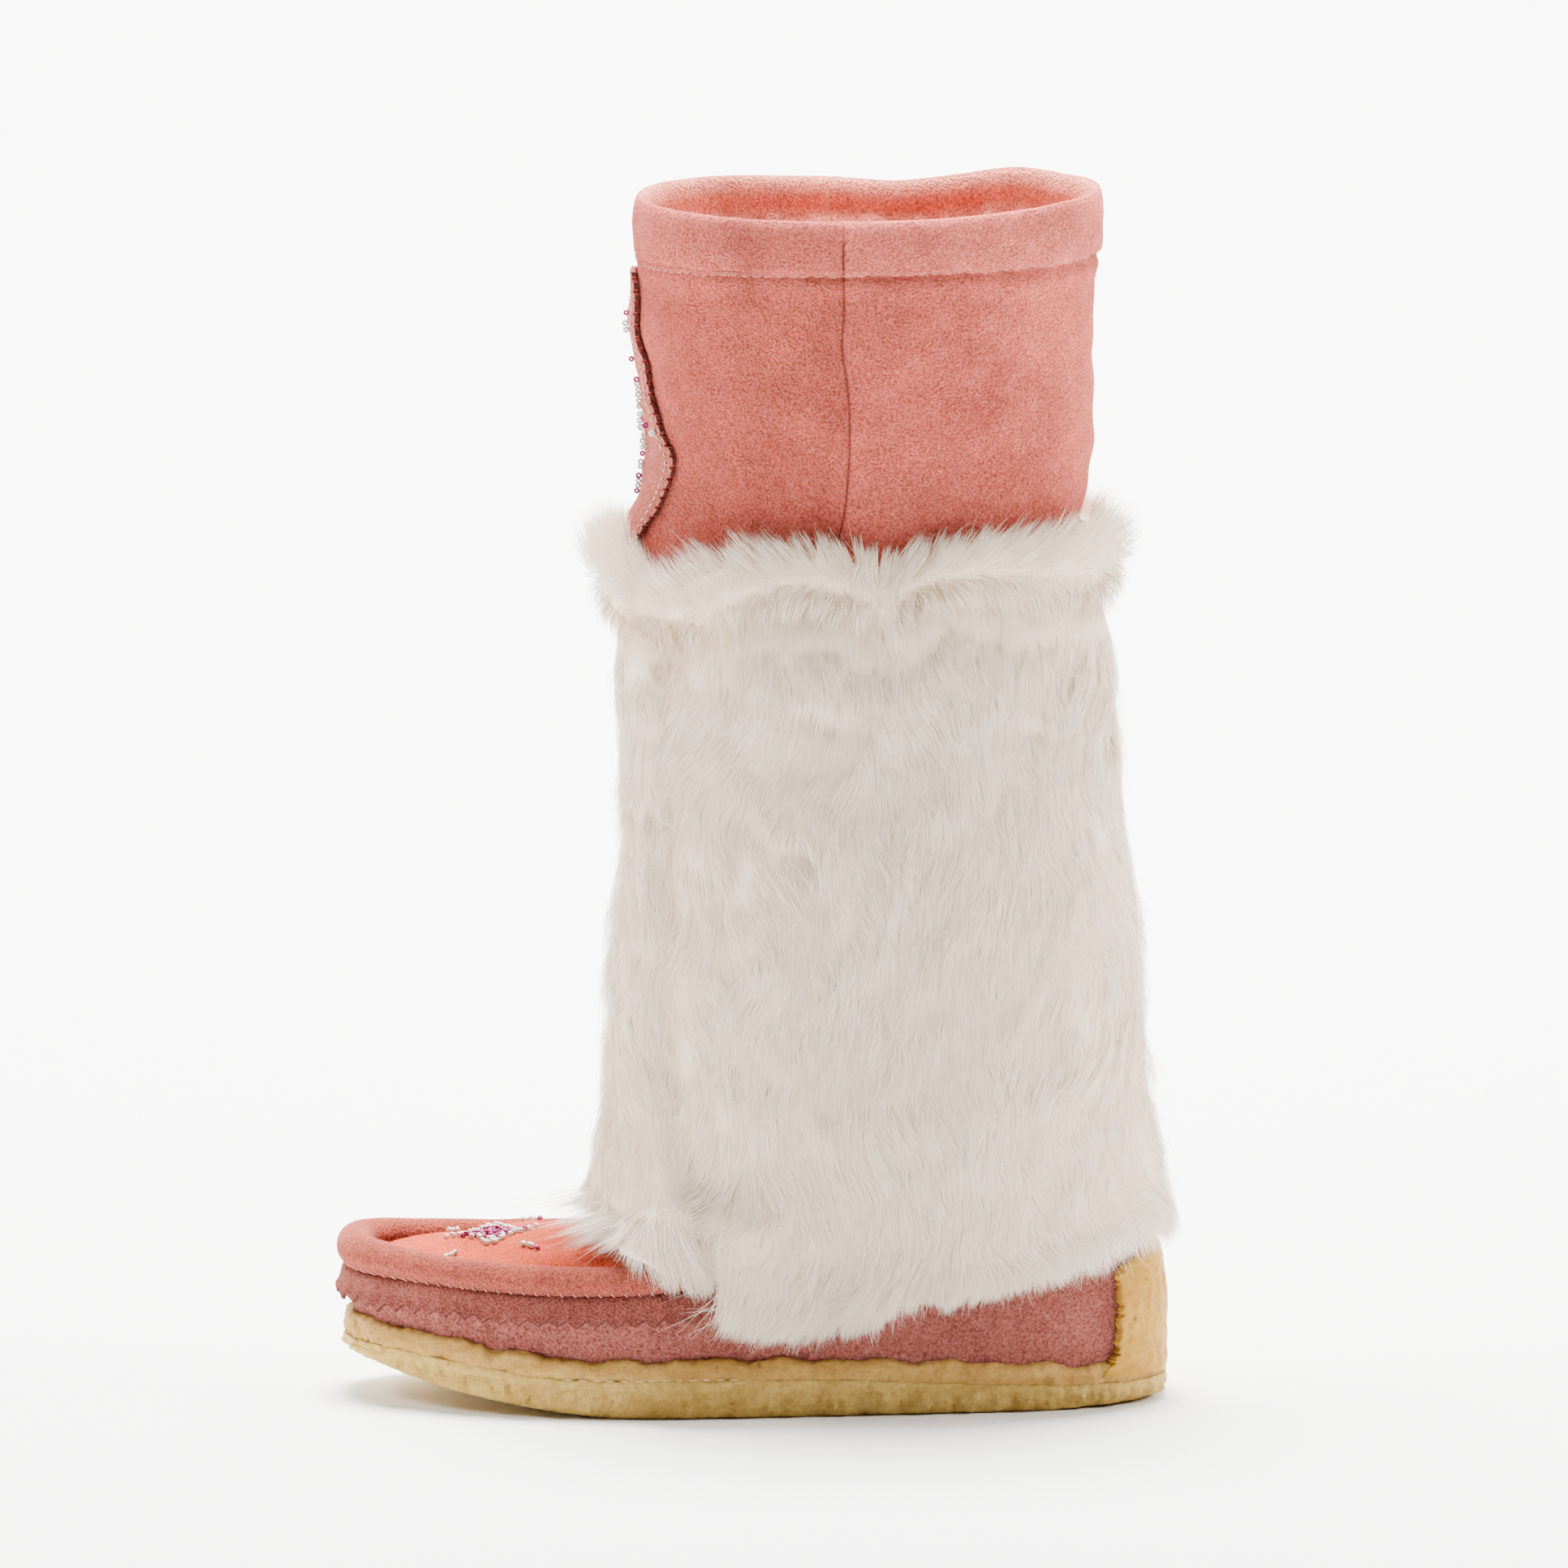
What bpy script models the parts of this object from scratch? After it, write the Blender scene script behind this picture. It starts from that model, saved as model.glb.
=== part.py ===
"""A tall fur-covered mukluk boot for the left foot, standing empty on its crepe sole.

Lengths are metres and up is +Z. The toe points to -X and the heel to +X, the outer side of
the foot is -Y and the inner side +Y. The origin is on the ground under the middle of the sole.

The upper is a stack of rings. Every ring has the same columns, and a column's angle theta is
0 at the toe, a quarter turn on the outer side and half a turn at the heel. The lowest rings
follow the sole's outline, the next ones run over the instep into the ankle, and the highest
ones are the rounded sections of the shaft. What lies on the upper takes its place from it.
"""
import math

import bpy
import numpy as np

# Sole
SOLE_LENGTH = 0.270
BALL_WIDTH = 0.102
TOE_SPRING = 0.015
SPRING_START = 0.355
SPRING_POWER = 1.6
FLOOR_THICKNESS = 0.0065
RIM_HEIGHT = 0.0067
BAND_HEIGHT = 0.0068
BAND_THICKNESS = 0.0032
BAND_SETBACK = 0.0006
BAND_WAVE = 0.0005
BAND_RIPPLES = (61, 97)
EDGE_ROUND = 0.003
HEEL_ROUND = 0.009
HEEL_START = 0.84
WRAP_HEIGHT = 0.036
WRAP_THICKNESS = 0.0028
WRAP_START = 0.945
WRAP_CORNER = 0.16
WRAP_TAPER = 0.35
INSOLE_THICKNESS = 0.003

# Foot of the upper
WALL = 0.0025
WALL_MIDDLE = 0.6
WALL_HOLLOW = 0.10
SHELF_EDGE = 0.0006
SHELF_RISE = 0.001
SHELF_SLOPE = 0.0005
SHELF_END = 0.45
SHELF_FADE = 0.10
ROLL_HEIGHT = 0.0455
ROLL_RADIUS = 0.005
ROLL_OVERHANG = 0.0004
TOE_OVERHANG = 0.0020
TOE_LEAN = 0.0018
TOE_END = 0.14
ROLL_SWELL = 0.2
ROLL_TAPER = 0.45
APRON_THICKNESS = 0.0016
TRIM_THICKNESS = 0.0012
TRIM_HEIGHT = 0.0065
TOOTH_PITCH = 0.0064
TOOTH_DEPTH = 0.0024
TRIM_CURL = 0.0004

# Shaft
BOOT_HEIGHT = 0.398
ANKLE_HEIGHT = 0.095
SHAFT_DEPTH = 0.153
SHAFT_WIDTH = 0.096
HEEL_SETBACK = 0.016
CASING_HEIGHT = 0.019
CASING_BULGE = 0.0024
RIM_TILT = 0.0015
RIM_DIP = 0.0014
SHIELD_TOP = BOOT_HEIGHT - 0.025
SHIELD_HEIGHT = 0.099
SHIELD_HALF_WIDTH = 0.026
SHIELD_THICKNESS = 0.0012

# Fur
FUR_TOP = BOOT_HEIGHT - 0.107
FUR_DEPTH = 0.012
FUR_FLARE = 0.0045
FLARE_HEIGHT = 0.012
LOCK_RELIEF = 0.0028
RAGGED_EDGE = 0.0034

# Clearances between touching pieces, the second where their flat facets differ
GAP = 0.0003
FACET_GAP = 0.0006
FUR_GAP = 0.0016
FUR_SEAM_GAP = 0.0012
LONG_FADE = 0.035
SHORT_FADE = 0.010

COLUMNS = 52
FUR_FRONT_COLUMNS = 8
FUR_SIDE_COLUMNS = 19

X_TOE = -SOLE_LENGTH / 2
X_HEEL = SOLE_LENGTH / 2
X_BACK = X_HEEL - HEEL_SETBACK
X_FRONT = X_BACK - SHAFT_DEPTH
WALL_INSET = BAND_THICKNESS + GAP
END_SQUARENESS = 0.70
SHAFT_SQUARENESS = 0.92
INSTEP_START = -0.17
INSTEP_END = 0.64

# Sole outline: share of the length from the toe, then the centre line's shift to the inner
# side and the two half widths, as shares of the ball width.
OUTLINE = [
    # from_toe, centre, outer, inner
    (0.00, 0.050, 0.450, 0.450),
    (0.05, 0.045, 0.465, 0.460),
    (0.10, 0.038, 0.500, 0.490),
    (0.20, 0.020, 0.522, 0.500),
    (0.35, -0.005, 0.505, 0.495),
    (0.50, -0.010, 0.460, 0.445),
    (0.65, -0.005, 0.430, 0.410),
    (0.80, 0.000, 0.430, 0.430),
    (0.90, 0.000, 0.445, 0.440),
    (1.00, 0.000, 0.450, 0.450),
]

# Side of the sole: floor thickness, rim height and band height as shares of their sizes.
SOLE_SIDE = [
    # from_toe, floor, rim, band
    (0.00, 0.60, 0.25, 1.05),
    (0.07, 0.72, 0.58, 1.08),
    (0.16, 0.88, 0.75, 1.00),
    (0.25, 0.96, 0.76, 1.00),
    (0.36, 1.00, 0.97, 0.95),
    (0.45, 1.00, 1.00, 1.00),
    (0.65, 1.00, 0.78, 1.00),
    (0.79, 1.00, 0.46, 1.05),
    (0.90, 1.00, 0.30, 0.95),
    (1.00, 1.00, 0.30, 0.95),
]

# Height of the roll's centre line as a share of its height beside the ball.
ROLL_LINE = [
    # from_toe, height
    (0.00, 1.066),
    (0.10, 1.020),
    (0.20, 0.993),
    (0.35, 1.000),
    (0.50, 1.060),
    (0.65, 1.090),
    (1.00, 1.090),
]

# From the roll to the ankle: run is the share of the way in plan, rise that of the way up.
INSTEP = [
    # run_front, rise_front, run_side, rise_side
    (0.100, 0.020, 0.10, 0.10),
    (0.280, 0.050, 0.26, 0.22),
    (0.500, 0.095, 0.44, 0.36),
    (0.710, 0.135, 0.60, 0.50),
    (0.860, 0.190, 0.75, 0.64),
    (0.935, 0.340, 0.87, 0.78),
    (0.978, 0.620, 0.95, 0.90),
]

# Shaft sections: share of the height from ankle to rim, then the front's and the back's
# distance behind the shaft's front and back lines as shares of its depth, and its width.
SHAFT = [
    # height, front, back, width
    (0.000, -0.049, 0.000, 0.96),
    (0.181, -0.020, -0.020, 0.95),
    (0.395, 0.003, -0.069, 0.94),
    (0.539, -0.026, -0.075, 0.96),
    (0.612, -0.047, -0.077, 0.98),
    (0.645, -0.033, -0.075, 0.98),
    (0.681, -0.011, -0.067, 0.98),
    (0.734, -0.001, -0.059, 0.97),
    (0.786, -0.003, -0.054, 0.98),
    (0.822, -0.013, -0.054, 0.98),
    (0.862, -0.034, -0.051, 0.99),
    (0.898, -0.029, -0.049, 1.00),
]

# Rings that shape the outer face only, because the wall inside runs smoothly past them.
OUTSIDE_ONLY = (16, 18, 21, 24, 26, 28)

# Drawstring casing round the collar: share of its height, and of its bulge.
CASING = [
    # height, bulge
    (0.00, 0.00),
    (0.07, 0.62),
    (0.50, 1.00),
    (0.88, 0.85),
    (1.00, 0.25),
]

# Angle in turns that the apron and the roll with its trim reach to from the toe.
APRON_REACH = 0.195
ROLL_REACH = 0.230

# Shield on the shaft's front: share of its height from the top, and of its half width.
SHIELD = [
    # down, width
    (0.00, 0.24),
    (0.08, 0.38),
    (0.25, 0.48),
    (0.40, 0.58),
    (0.50, 0.80),
    (0.58, 1.00),
    (0.68, 0.92),
    (0.82, 0.74),
    (0.93, 0.48),
    (1.00, 0.10),
]

# Fur depth up the boot at the front, side and back, as shares of its depth.
FUR_PROFILE = [
    # height_share, front, side, back
    (0.00, 0.50, 0.62, 0.66),
    (0.14, 0.50, 0.86, 0.80),
    (0.24, 0.92, 0.96, 0.96),
    (0.40, 1.04, 1.00, 1.02),
    (0.60, 0.92, 0.94, 0.92),
    (0.80, 0.86, 0.90, 0.86),
    (0.86, 0.66, 0.70, 0.68),
    (0.92, 0.98, 1.02, 1.00),
    (1.00, 1.00, 1.04, 1.04),
]

# Lower edge of the fur as a share of the roll's height: the front panel from its middle to
# the seam, a side panel from the seam to the middle of the back.
HEM_FRONT = [
    # across, height
    (0.00, 1.36),
    (0.35, 1.32),
    (0.62, 1.20),
    (0.74, 1.06),
    (0.88, 0.97),
    (1.00, 1.04),
]
HEM_SIDE = [
    # across, height
    (0.00, 0.82),
    (0.06, 0.66),
    (0.14, 0.56),
    (0.34, 0.55),
    (0.42, 0.68),
    (0.50, 0.78),
    (0.68, 0.78),
    (0.84, 0.90),
    (0.94, 1.04),
    (1.00, 1.15),
]

# Top edge of the fur as a share of its top height, from the front to the back in turns.
FUR_EDGE = [
    # turn, height
    (0.000, 1.000),
    (0.040, 0.985),
    (0.068, 0.958),
    (0.095, 0.980),
    (0.140, 0.996),
    (0.200, 1.000),
    (0.245, 0.986),
    (0.290, 0.998),
    (0.500, 1.012),
]

# Rounded lower edge of the sole: inset as a share of the tuck, height as a share of the side.
TUCK = [
    # inset, rise
    (1.00, 0.00),
    (0.34, 0.20),
    (0.06, 0.52),
    (0.00, 0.80),
]

# Levels of the rings: the foot's wall between the band and the roll, and the apron's rows.
WALL_LEVELS = (1.3, 2.7)
APRON_RINGS = (5.38, 6.0, 7.0, 8.0, 9.0, 10.0, 11.0)
APRON_TAPER = 0.93

# Rows of locks up the fur, closer together under the flared top.
FUR_ROWS = (0.00, 0.09, 0.19, 0.30, 0.41, 0.52, 0.63, 0.74, 0.84, 0.93, 1.00)

# Seam between front and side fur panels: share of the fur's top height, angle in turns.
FUR_SEAM = [
    # height_share, turn
    (0.00, 0.116),
    (0.18, 0.108),
    (0.33, 0.076),
    (0.52, 0.067),
    (1.00, 0.065),
]


def columns(table):
    """The table's columns as arrays."""
    return [np.array(values, float) for values in zip(*table)]


def curve(at, places, values):
    """Smooth curve through a table's rows, with slopes taken from neighbouring rows."""
    slopes = np.gradient(values, places)
    row = np.clip(np.searchsorted(places, at, side="right") - 1, 0, len(places) - 2)
    width = places[row + 1] - places[row]
    part = np.clip((at - places[row]) / width, 0.0, 1.0)
    return ((1 + 2 * part) * (1 - part) ** 2 * values[row]
            + part * (1 - part) ** 2 * width * slopes[row]
            + part ** 2 * (3 - 2 * part) * values[row + 1]
            + part ** 2 * (part - 1) * width * slopes[row + 1])


def ease(value):
    """Smooth step from 0 to 1."""
    value = np.clip(value, 0.0, 1.0)
    return value * value * (3 - 2 * value)


def from_toe(theta):
    """Share of the sole's length from the toe at an angle round the foot."""
    return (1 - np.cos(theta)) / 2


def toe_weight(theta):
    """1 at the toe, falling to 0 where the sides begin."""
    return ease(1 - from_toe(theta) / TOE_END)


def signed_power(value, power):
    return np.sign(value) * np.abs(value) ** power


def sole_edge(theta):
    """Plan point of the sole's widest edge."""
    places, centre, outer, inner = columns(OUTLINE)
    share = from_toe(theta)
    side = np.sin(theta)
    half = np.where(side >= 0, curve(share, places, outer), curve(share, places, inner))
    y = BALL_WIDTH * (curve(share, places, centre) - half * signed_power(side, END_SQUARENESS))
    return np.stack([X_TOE + SOLE_LENGTH * share, y], -1)


def outline(theta, inset):
    """Plan point of the sole's edge moved inwards by inset."""
    step = 0.02
    along = sole_edge(theta + step) - sole_edge(theta - step)
    along /= np.linalg.norm(along, axis=-1, keepdims=True)
    inward = np.stack([-along[..., 1], along[..., 0]], -1)
    return sole_edge(theta) + np.broadcast_to(inset, theta.shape)[..., None] * inward


def spring(x):
    """Height of the sole's underside: flat on the ground, rising ahead of the ball."""
    start = X_TOE + SPRING_START * SOLE_LENGTH
    return TOE_SPRING * np.clip((start - x) / (start - X_TOE), 0.0, 1.0) ** SPRING_POWER


def sole_heights(x):
    """Heights of the floor, of the rim's top and of the band's top at a place along the sole."""
    places, floor, rim, band = columns(SOLE_SIDE)
    share = np.clip((x - X_TOE) / SOLE_LENGTH, 0.0, 1.0)
    floor_top = spring(x) + FLOOR_THICKNESS * curve(share, places, floor)
    rim_top = floor_top + RIM_HEIGHT * curve(share, places, rim)
    wave = BAND_WAVE * sum(np.sin(share * ripples) for ripples in BAND_RIPPLES)
    return floor_top, rim_top, rim_top + BAND_HEIGHT * curve(share, places, band) + wave


def lifted(plan, height):
    """Plan points with a height."""
    return np.concatenate([plan, np.broadcast_to(height, plan.shape[:-1])[..., None]], -1)


def roll_radius(theta):
    return ROLL_RADIUS * (1 + ROLL_SWELL * toe_weight(theta))


def roll_inset(theta):
    """Distance of the roll's centre line inside the sole's edge."""
    return roll_radius(theta) - ROLL_OVERHANG - TOE_OVERHANG * toe_weight(theta)


def roll_height(theta):
    places, height = columns(ROLL_LINE)
    return ROLL_HEIGHT * curve(from_toe(theta), places, height)


def shelf_weight(theta):
    """1 where the roll lies on a shelf of the upper, 0 behind its ends."""
    return 1 - ease((from_toe(theta) - SHELF_END) / SHELF_FADE)


def wall_inset(theta, share):
    """Inset of the foot's wall between the band and the roll."""
    hollow = WALL_HOLLOW * WALL_INSET * np.sin(math.pi * share)
    return WALL_INSET - TOE_LEAN * toe_weight(theta) * share - hollow


def shaft_section(theta, height, front, back, width, bulge):
    """Ring of the shaft: a rounded oval between its front and its back."""
    x_front = X_FRONT + front * SHAFT_DEPTH - bulge
    x_back = X_BACK + back * SHAFT_DEPTH + bulge
    half_depth = (x_back - x_front) / 2
    half_width = width * SHAFT_WIDTH / 2 + bulge
    x = (x_front + x_back) / 2 - half_depth * signed_power(np.cos(theta), SHAFT_SQUARENESS)
    y = -half_width * signed_power(np.sin(theta), SHAFT_SQUARENESS)
    return lifted(np.stack([x, y], -1), height)


def shaft_rings(theta):
    """Rings from the ankle to the rim, the casing's step included."""
    places, front, back, width = columns(SHAFT)
    casing_foot = BOOT_HEIGHT - CASING_HEIGHT
    rings = []
    for share, x_front, x_back, breadth in SHAFT:
        height = ANKLE_HEIGHT + share * (BOOT_HEIGHT - ANKLE_HEIGHT)
        rings.append(shaft_section(theta, height, x_front, x_back, breadth, 0.0))
    tilt = -RIM_TILT * np.cos(theta)
    for share, bulge in CASING:
        height = casing_foot + share * CASING_HEIGHT + tilt + share * RIM_DIP * np.cos(2 * theta)
        rings.append(shaft_section(theta, height, front[-1], back[-1], width[-1], bulge * CASING_BULGE))
    return rings


def foot_rings(theta, shelf):
    """Rings from the sole's floor up to the foot of the instep, with or without the shelf."""
    edge = sole_edge(theta)
    floor_top, _, band_top = sole_heights(edge[..., 0])
    radius = roll_radius(theta)
    seat = roll_height(theta) - radius - GAP
    back_edge = wall_inset(theta, 1.0) + SHELF_EDGE
    riser = roll_inset(theta) + radius + APRON_THICKNESS + 2 * FACET_GAP
    shelf_inset = back_edge + shelf * (riser - back_edge)
    middle = band_top + WALL_MIDDLE * (seat - band_top)
    return [
        lifted(outline(theta, WALL_INSET), floor_top + GAP),
        lifted(outline(theta, WALL_INSET), band_top),
        lifted(outline(theta, wall_inset(theta, WALL_MIDDLE)), middle),
        lifted(outline(theta, back_edge), seat),
        lifted(outline(theta, shelf_inset), seat + SHELF_RISE + SHELF_SLOPE * shelf),
        lifted(outline(theta, shelf_inset + GAP), seat + 0.5 * radius + GAP),
    ]


def upper_rings(theta, shelf):
    """All rings of the upper's outer face, from the sole to the rim."""
    rings = foot_rings(theta, shelf)
    shaft = shaft_rings(theta)
    foot, ankle = rings[-1], shaft[0]
    front = ease((np.cos(theta) - INSTEP_START) / (INSTEP_END - INSTEP_START))
    for run_front, rise_front, run_side, rise_side in INSTEP:
        run = (front * run_front + (1 - front) * run_side)[..., None]
        rise = front * rise_front + (1 - front) * rise_side
        ring = foot + run * (ankle - foot)
        ring[..., 2] = foot[..., 2] + rise * (ankle[..., 2] - foot[..., 2])
        rings.append(ring)
    return np.stack(rings + shaft)


def upper_point(theta, level):
    """Point of the upper's outer face at an angle and a level counted in rings."""
    rings = upper_rings(theta, shelf_weight(theta))
    low = np.clip(np.floor(level).astype(int), 0, len(rings) - 2)
    part = (level - low)[..., None]
    pick = np.arange(theta.size)
    flat = rings.reshape(len(rings), -1, 3)
    below = flat[low.ravel(), pick].reshape(theta.shape + (3,))
    above = flat[low.ravel() + 1, pick].reshape(theta.shape + (3,))
    return below + part * (above - below)


def outward(theta, level):
    """Unit normal of the upper's outer face."""
    turn = upper_point(theta + 0.02, level) - upper_point(theta - 0.02, level)
    rise = upper_point(theta, level + 0.25) - upper_point(theta, level - 0.25)
    normal = np.cross(turn, rise)
    return normal / np.linalg.norm(normal, axis=-1, keepdims=True)


def level_at(theta, height):
    """Level of the upper's outer face at a height, for each angle."""
    heights = upper_rings(theta, shelf_weight(theta))[..., 2]
    levels = np.arange(len(heights))
    return np.array([np.interp(h, heights[:, i], levels) for i, h in enumerate(height)])


def ring_angles(count):
    return np.arange(count) * 2 * math.pi / count


def make_object(name, points, faces, material):
    """A named object from points and faces."""
    mesh = bpy.data.meshes.new(name)
    mesh.from_pydata([tuple(p) for p in points], [], faces)
    mesh.materials.append(material)
    mesh.shade_smooth()
    mesh.set_sharp_from_angle(angle=math.radians(40))
    thing = bpy.data.objects.new(name, mesh)
    bpy.context.scene.collection.objects.link(thing)
    return thing


def ring_faces(rings, wrap):
    """Faces between consecutive rings, and from the last back to the first where they wrap."""
    count = rings.shape[1]
    faces = []
    for row in range(len(rings) if wrap else len(rings) - 1):
        here, there = row * count, (row + 1) % len(rings) * count
        for j in range(count):
            k = (j + 1) % count
            faces.append((here + j, here + k, there + k, there + j))
    return faces


def cross_strips(start, count, facing_up):
    """Faces across a ring, each from its outer side to its inner side."""
    faces = []
    for j in range(count // 2):
        a, b = start + j, start + j + 1
        c, d = start + (count - j - 1) % count, start + (count - j) % count
        face = [p for i, p in enumerate((a, b, c, d)) if p not in (a, b, c, d)[:i]]
        faces.append(tuple(face) if facing_up else tuple(reversed(face)))
    return faces


def capped_stack(name, rings, material):
    """A solid from rings whose first and last rings are closed across."""
    count = rings.shape[1]
    faces = ring_faces(rings, wrap=False)
    faces += cross_strips(0, count, facing_up=False)
    faces += cross_strips((len(rings) - 1) * count, count, facing_up=True)
    return make_object(name, rings.reshape(-1, 3), faces, material)


def slab(name, outer, inner, material):
    """A solid between an outer and an inner grid of the same rows and columns."""
    rows, count = outer.shape[:2]
    size = rows * count
    faces = []
    for i in range(rows - 1):
        for j in range(count - 1):
            a, b, c, d = (i * count + j, i * count + j + 1, (i + 1) * count + j + 1, (i + 1) * count + j)
            faces.append((a, b, c, d))
            faces.append((size + d, size + c, size + b, size + a))
    for j in range(count - 1):
        top = (rows - 1) * count + j
        faces.append((j, size + j, size + j + 1, j + 1))
        faces.append((top, top + 1, size + top + 1, size + top))
    for i in range(rows - 1):
        left, right = i * count, i * count + count - 1
        faces.append((left, left + count, size + left + count, size + left))
        faces.append((right, size + right, size + right + count, right + count))
    points = np.concatenate([outer.reshape(-1, 3), inner.reshape(-1, 3)])
    return make_object(name, points, faces, material)


def make_upper(material):
    """The hollow upper: outer face up to the rim, and back down inside by the wall."""
    theta = ring_angles(COLUMNS)
    rings = upper_rings(theta, shelf_weight(theta))
    inside = []
    for row in reversed(range(len(rings))):
        if row in OUTSIDE_ONLY:
            continue
        level = np.full(theta.shape, float(row))
        normal = outward(theta, np.clip(level, 0.3, len(rings) - 1.3))
        if row in (0, 1, len(rings) - 1):
            normal[..., 2] = 0
            normal /= np.linalg.norm(normal, axis=-1, keepdims=True)
        inside.append(rings[row] - WALL * normal)
    stack = np.concatenate([rings, np.stack(inside)])
    return make_object("upper", stack.reshape(-1, 3), ring_faces(stack, wrap=True), material)


def make_outsole(material):
    """Lower crepe layer: a tray with a rounded bottom edge and a rim round the upper."""
    theta = ring_angles(COLUMNS)
    floor_top, rim_top, _ = sole_heights(sole_edge(theta)[..., 0])
    ends = ease((from_toe(theta) - HEEL_START) / (1 - HEEL_START)) + 0.5 * toe_weight(theta)
    tuck = EDGE_ROUND + (HEEL_ROUND - EDGE_ROUND) * ends
    rings = []
    for tuck_share, rise in TUCK:
        plan = outline(theta, tuck * tuck_share)
        ground = spring(plan[..., 0])
        rings.append(lifted(plan, ground + rise * (rim_top - ground)))
    rings.append(lifted(outline(theta, 0.0002), rim_top))
    rings.append(lifted(outline(theta, BAND_THICKNESS), rim_top))
    rings.append(lifted(outline(theta, BAND_THICKNESS), floor_top))
    return capped_stack("outsole", np.stack(rings), material)


def make_foxing_band(material):
    """Upper crepe layer: a band round the upper's foot, set back from the outsole's side."""
    theta = ring_angles(COLUMNS)
    _, rim_top, band_top = sole_heights(sole_edge(theta)[..., 0])
    foot = rim_top + GAP
    rings = np.stack([
        lifted(outline(theta, BAND_SETBACK), foot),
        lifted(outline(theta, BAND_SETBACK * 0.6), foot + 0.5 * (band_top - foot)),
        lifted(outline(theta, BAND_SETBACK * 1.6), band_top - GAP),
        lifted(outline(theta, BAND_THICKNESS), band_top - GAP),
        lifted(outline(theta, BAND_THICKNESS), foot),
    ])
    return make_object("foxing_band", rings.reshape(-1, 3), ring_faces(rings, wrap=True), material)


def make_heel_wrap(material):
    """Crepe piece up the back of the heel, from the band to under the fur."""
    reach = math.acos(1 - 2 * WRAP_START)
    theta = np.linspace(reach, 2 * math.pi - reach, 15)
    _, _, band_top = sole_heights(sole_edge(theta)[..., 0])
    corner = 1 - WRAP_CORNER * np.abs(np.linspace(-1, 1, theta.size)) ** 4
    outer, inner = [], []
    for share in (0.0, 0.3, 0.6, 0.85, 1.0):
        height = band_top + GAP + share * (WRAP_HEIGHT * corner)
        level = level_at(theta, height)
        normal = outward(theta, level)
        skin = upper_point(theta, level)
        thick = WRAP_THICKNESS * (1 - WRAP_TAPER * share ** 3)
        outer.append(skin + (FACET_GAP + thick) * normal)
        inner.append(skin + FACET_GAP * normal)
    outer[0][:, 2] = inner[0][:, 2] = band_top + GAP
    return slab("heel_wrap", np.stack(outer), np.stack(inner), material)


def make_insole(material):
    """Flat insole on the outsole's floor, inside the upper."""
    theta = ring_angles(COLUMNS)
    plan = outline(theta, WALL_INSET + WALL + FACET_GAP)
    floor_top, _, _ = sole_heights(sole_edge(theta)[..., 0])
    rings = np.stack([lifted(plan, floor_top + GAP), lifted(plan, floor_top + GAP + INSOLE_THICKNESS)])
    return capped_stack("insole", rings, material)


def make_apron(material):
    """Plug over the toes and instep, inside the roll and tucked under the front fur."""
    half = round(APRON_REACH * COLUMNS)
    theta = np.arange(-half, half + 1) * 2 * math.pi / COLUMNS
    across = np.linspace(-1, 1, theta.size)
    outer, inner = [], []
    for ring in APRON_RINGS:
        level = APRON_RINGS[0] + (ring - APRON_RINGS[0]) * (1 - APRON_TAPER * np.abs(across) ** 4)
        skin = upper_point(theta, level)
        normal = outward(theta, level)
        outer.append(skin + (FACET_GAP + APRON_THICKNESS) * normal)
        inner.append(skin + FACET_GAP * normal)
    return slab("apron", np.stack(outer), np.stack(inner), material)


def make_roll(material):
    """Fat stitched piping between the foot's wall and the apron."""
    reach = 2 * math.pi * ROLL_REACH
    sides = 8
    across = np.linspace(-1, 1, 41)
    theta = reach * across
    centre = lifted(outline(theta, roll_inset(theta)), roll_height(theta))
    along = np.gradient(centre, axis=0)
    along /= np.linalg.norm(along, axis=-1, keepdims=True)
    side = np.cross(along, (0.0, 0.0, 1.0))
    side /= np.linalg.norm(side, axis=-1, keepdims=True)
    upward = np.cross(side, along)
    taper = 1 - ROLL_TAPER * np.abs(across) ** 24
    radius = (roll_radius(theta) * taper)[:, None]
    rings = []
    for turn in ring_angles(sides):
        rings.append(centre + radius * (math.cos(turn) * side - math.sin(turn) * upward))
    tube = np.stack(rings, axis=1)
    faces = ring_faces(tube, wrap=False)
    last = (len(tube) - 1) * sides
    faces.append(tuple(reversed(range(sides))))
    faces.append(tuple(range(last, last + sides)))
    return make_object("vamp_roll", tube.reshape(-1, 3), faces, material)


def make_trim(material):
    """Strip with a saw-tooth lower edge on the foot's wall, under the roll."""
    reach = 2 * math.pi * ROLL_REACH
    fine = np.linspace(-reach, reach, 400)
    steps = np.linalg.norm(np.diff(sole_edge(fine), axis=0), axis=1)
    length = np.concatenate([[0.0], np.cumsum(steps)])
    teeth = round(length[-1] / TOOTH_PITCH)
    theta = np.interp(np.linspace(0, length[-1], 2 * teeth + 1), length, fine)
    top = roll_height(theta) - roll_radius(theta) - 2 * GAP - TRIM_CURL
    notch = np.where(np.arange(theta.size) % 2 == 1, TOOTH_DEPTH, 0.0)
    bottom = top - TRIM_HEIGHT - notch
    outer, inner = [], []
    for height, flare in ((bottom, TRIM_CURL), (top, 0.0)):
        level = level_at(theta, height)
        skin = upper_point(theta, level)
        normal = outward(theta, np.clip(level, *WALL_LEVELS))
        outer.append(skin + (FACET_GAP + TRIM_THICKNESS + flare) * normal)
        inner.append(skin + (FACET_GAP + flare) * normal)
    return slab("pinked_trim", np.stack(outer), np.stack(inner), material)


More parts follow.
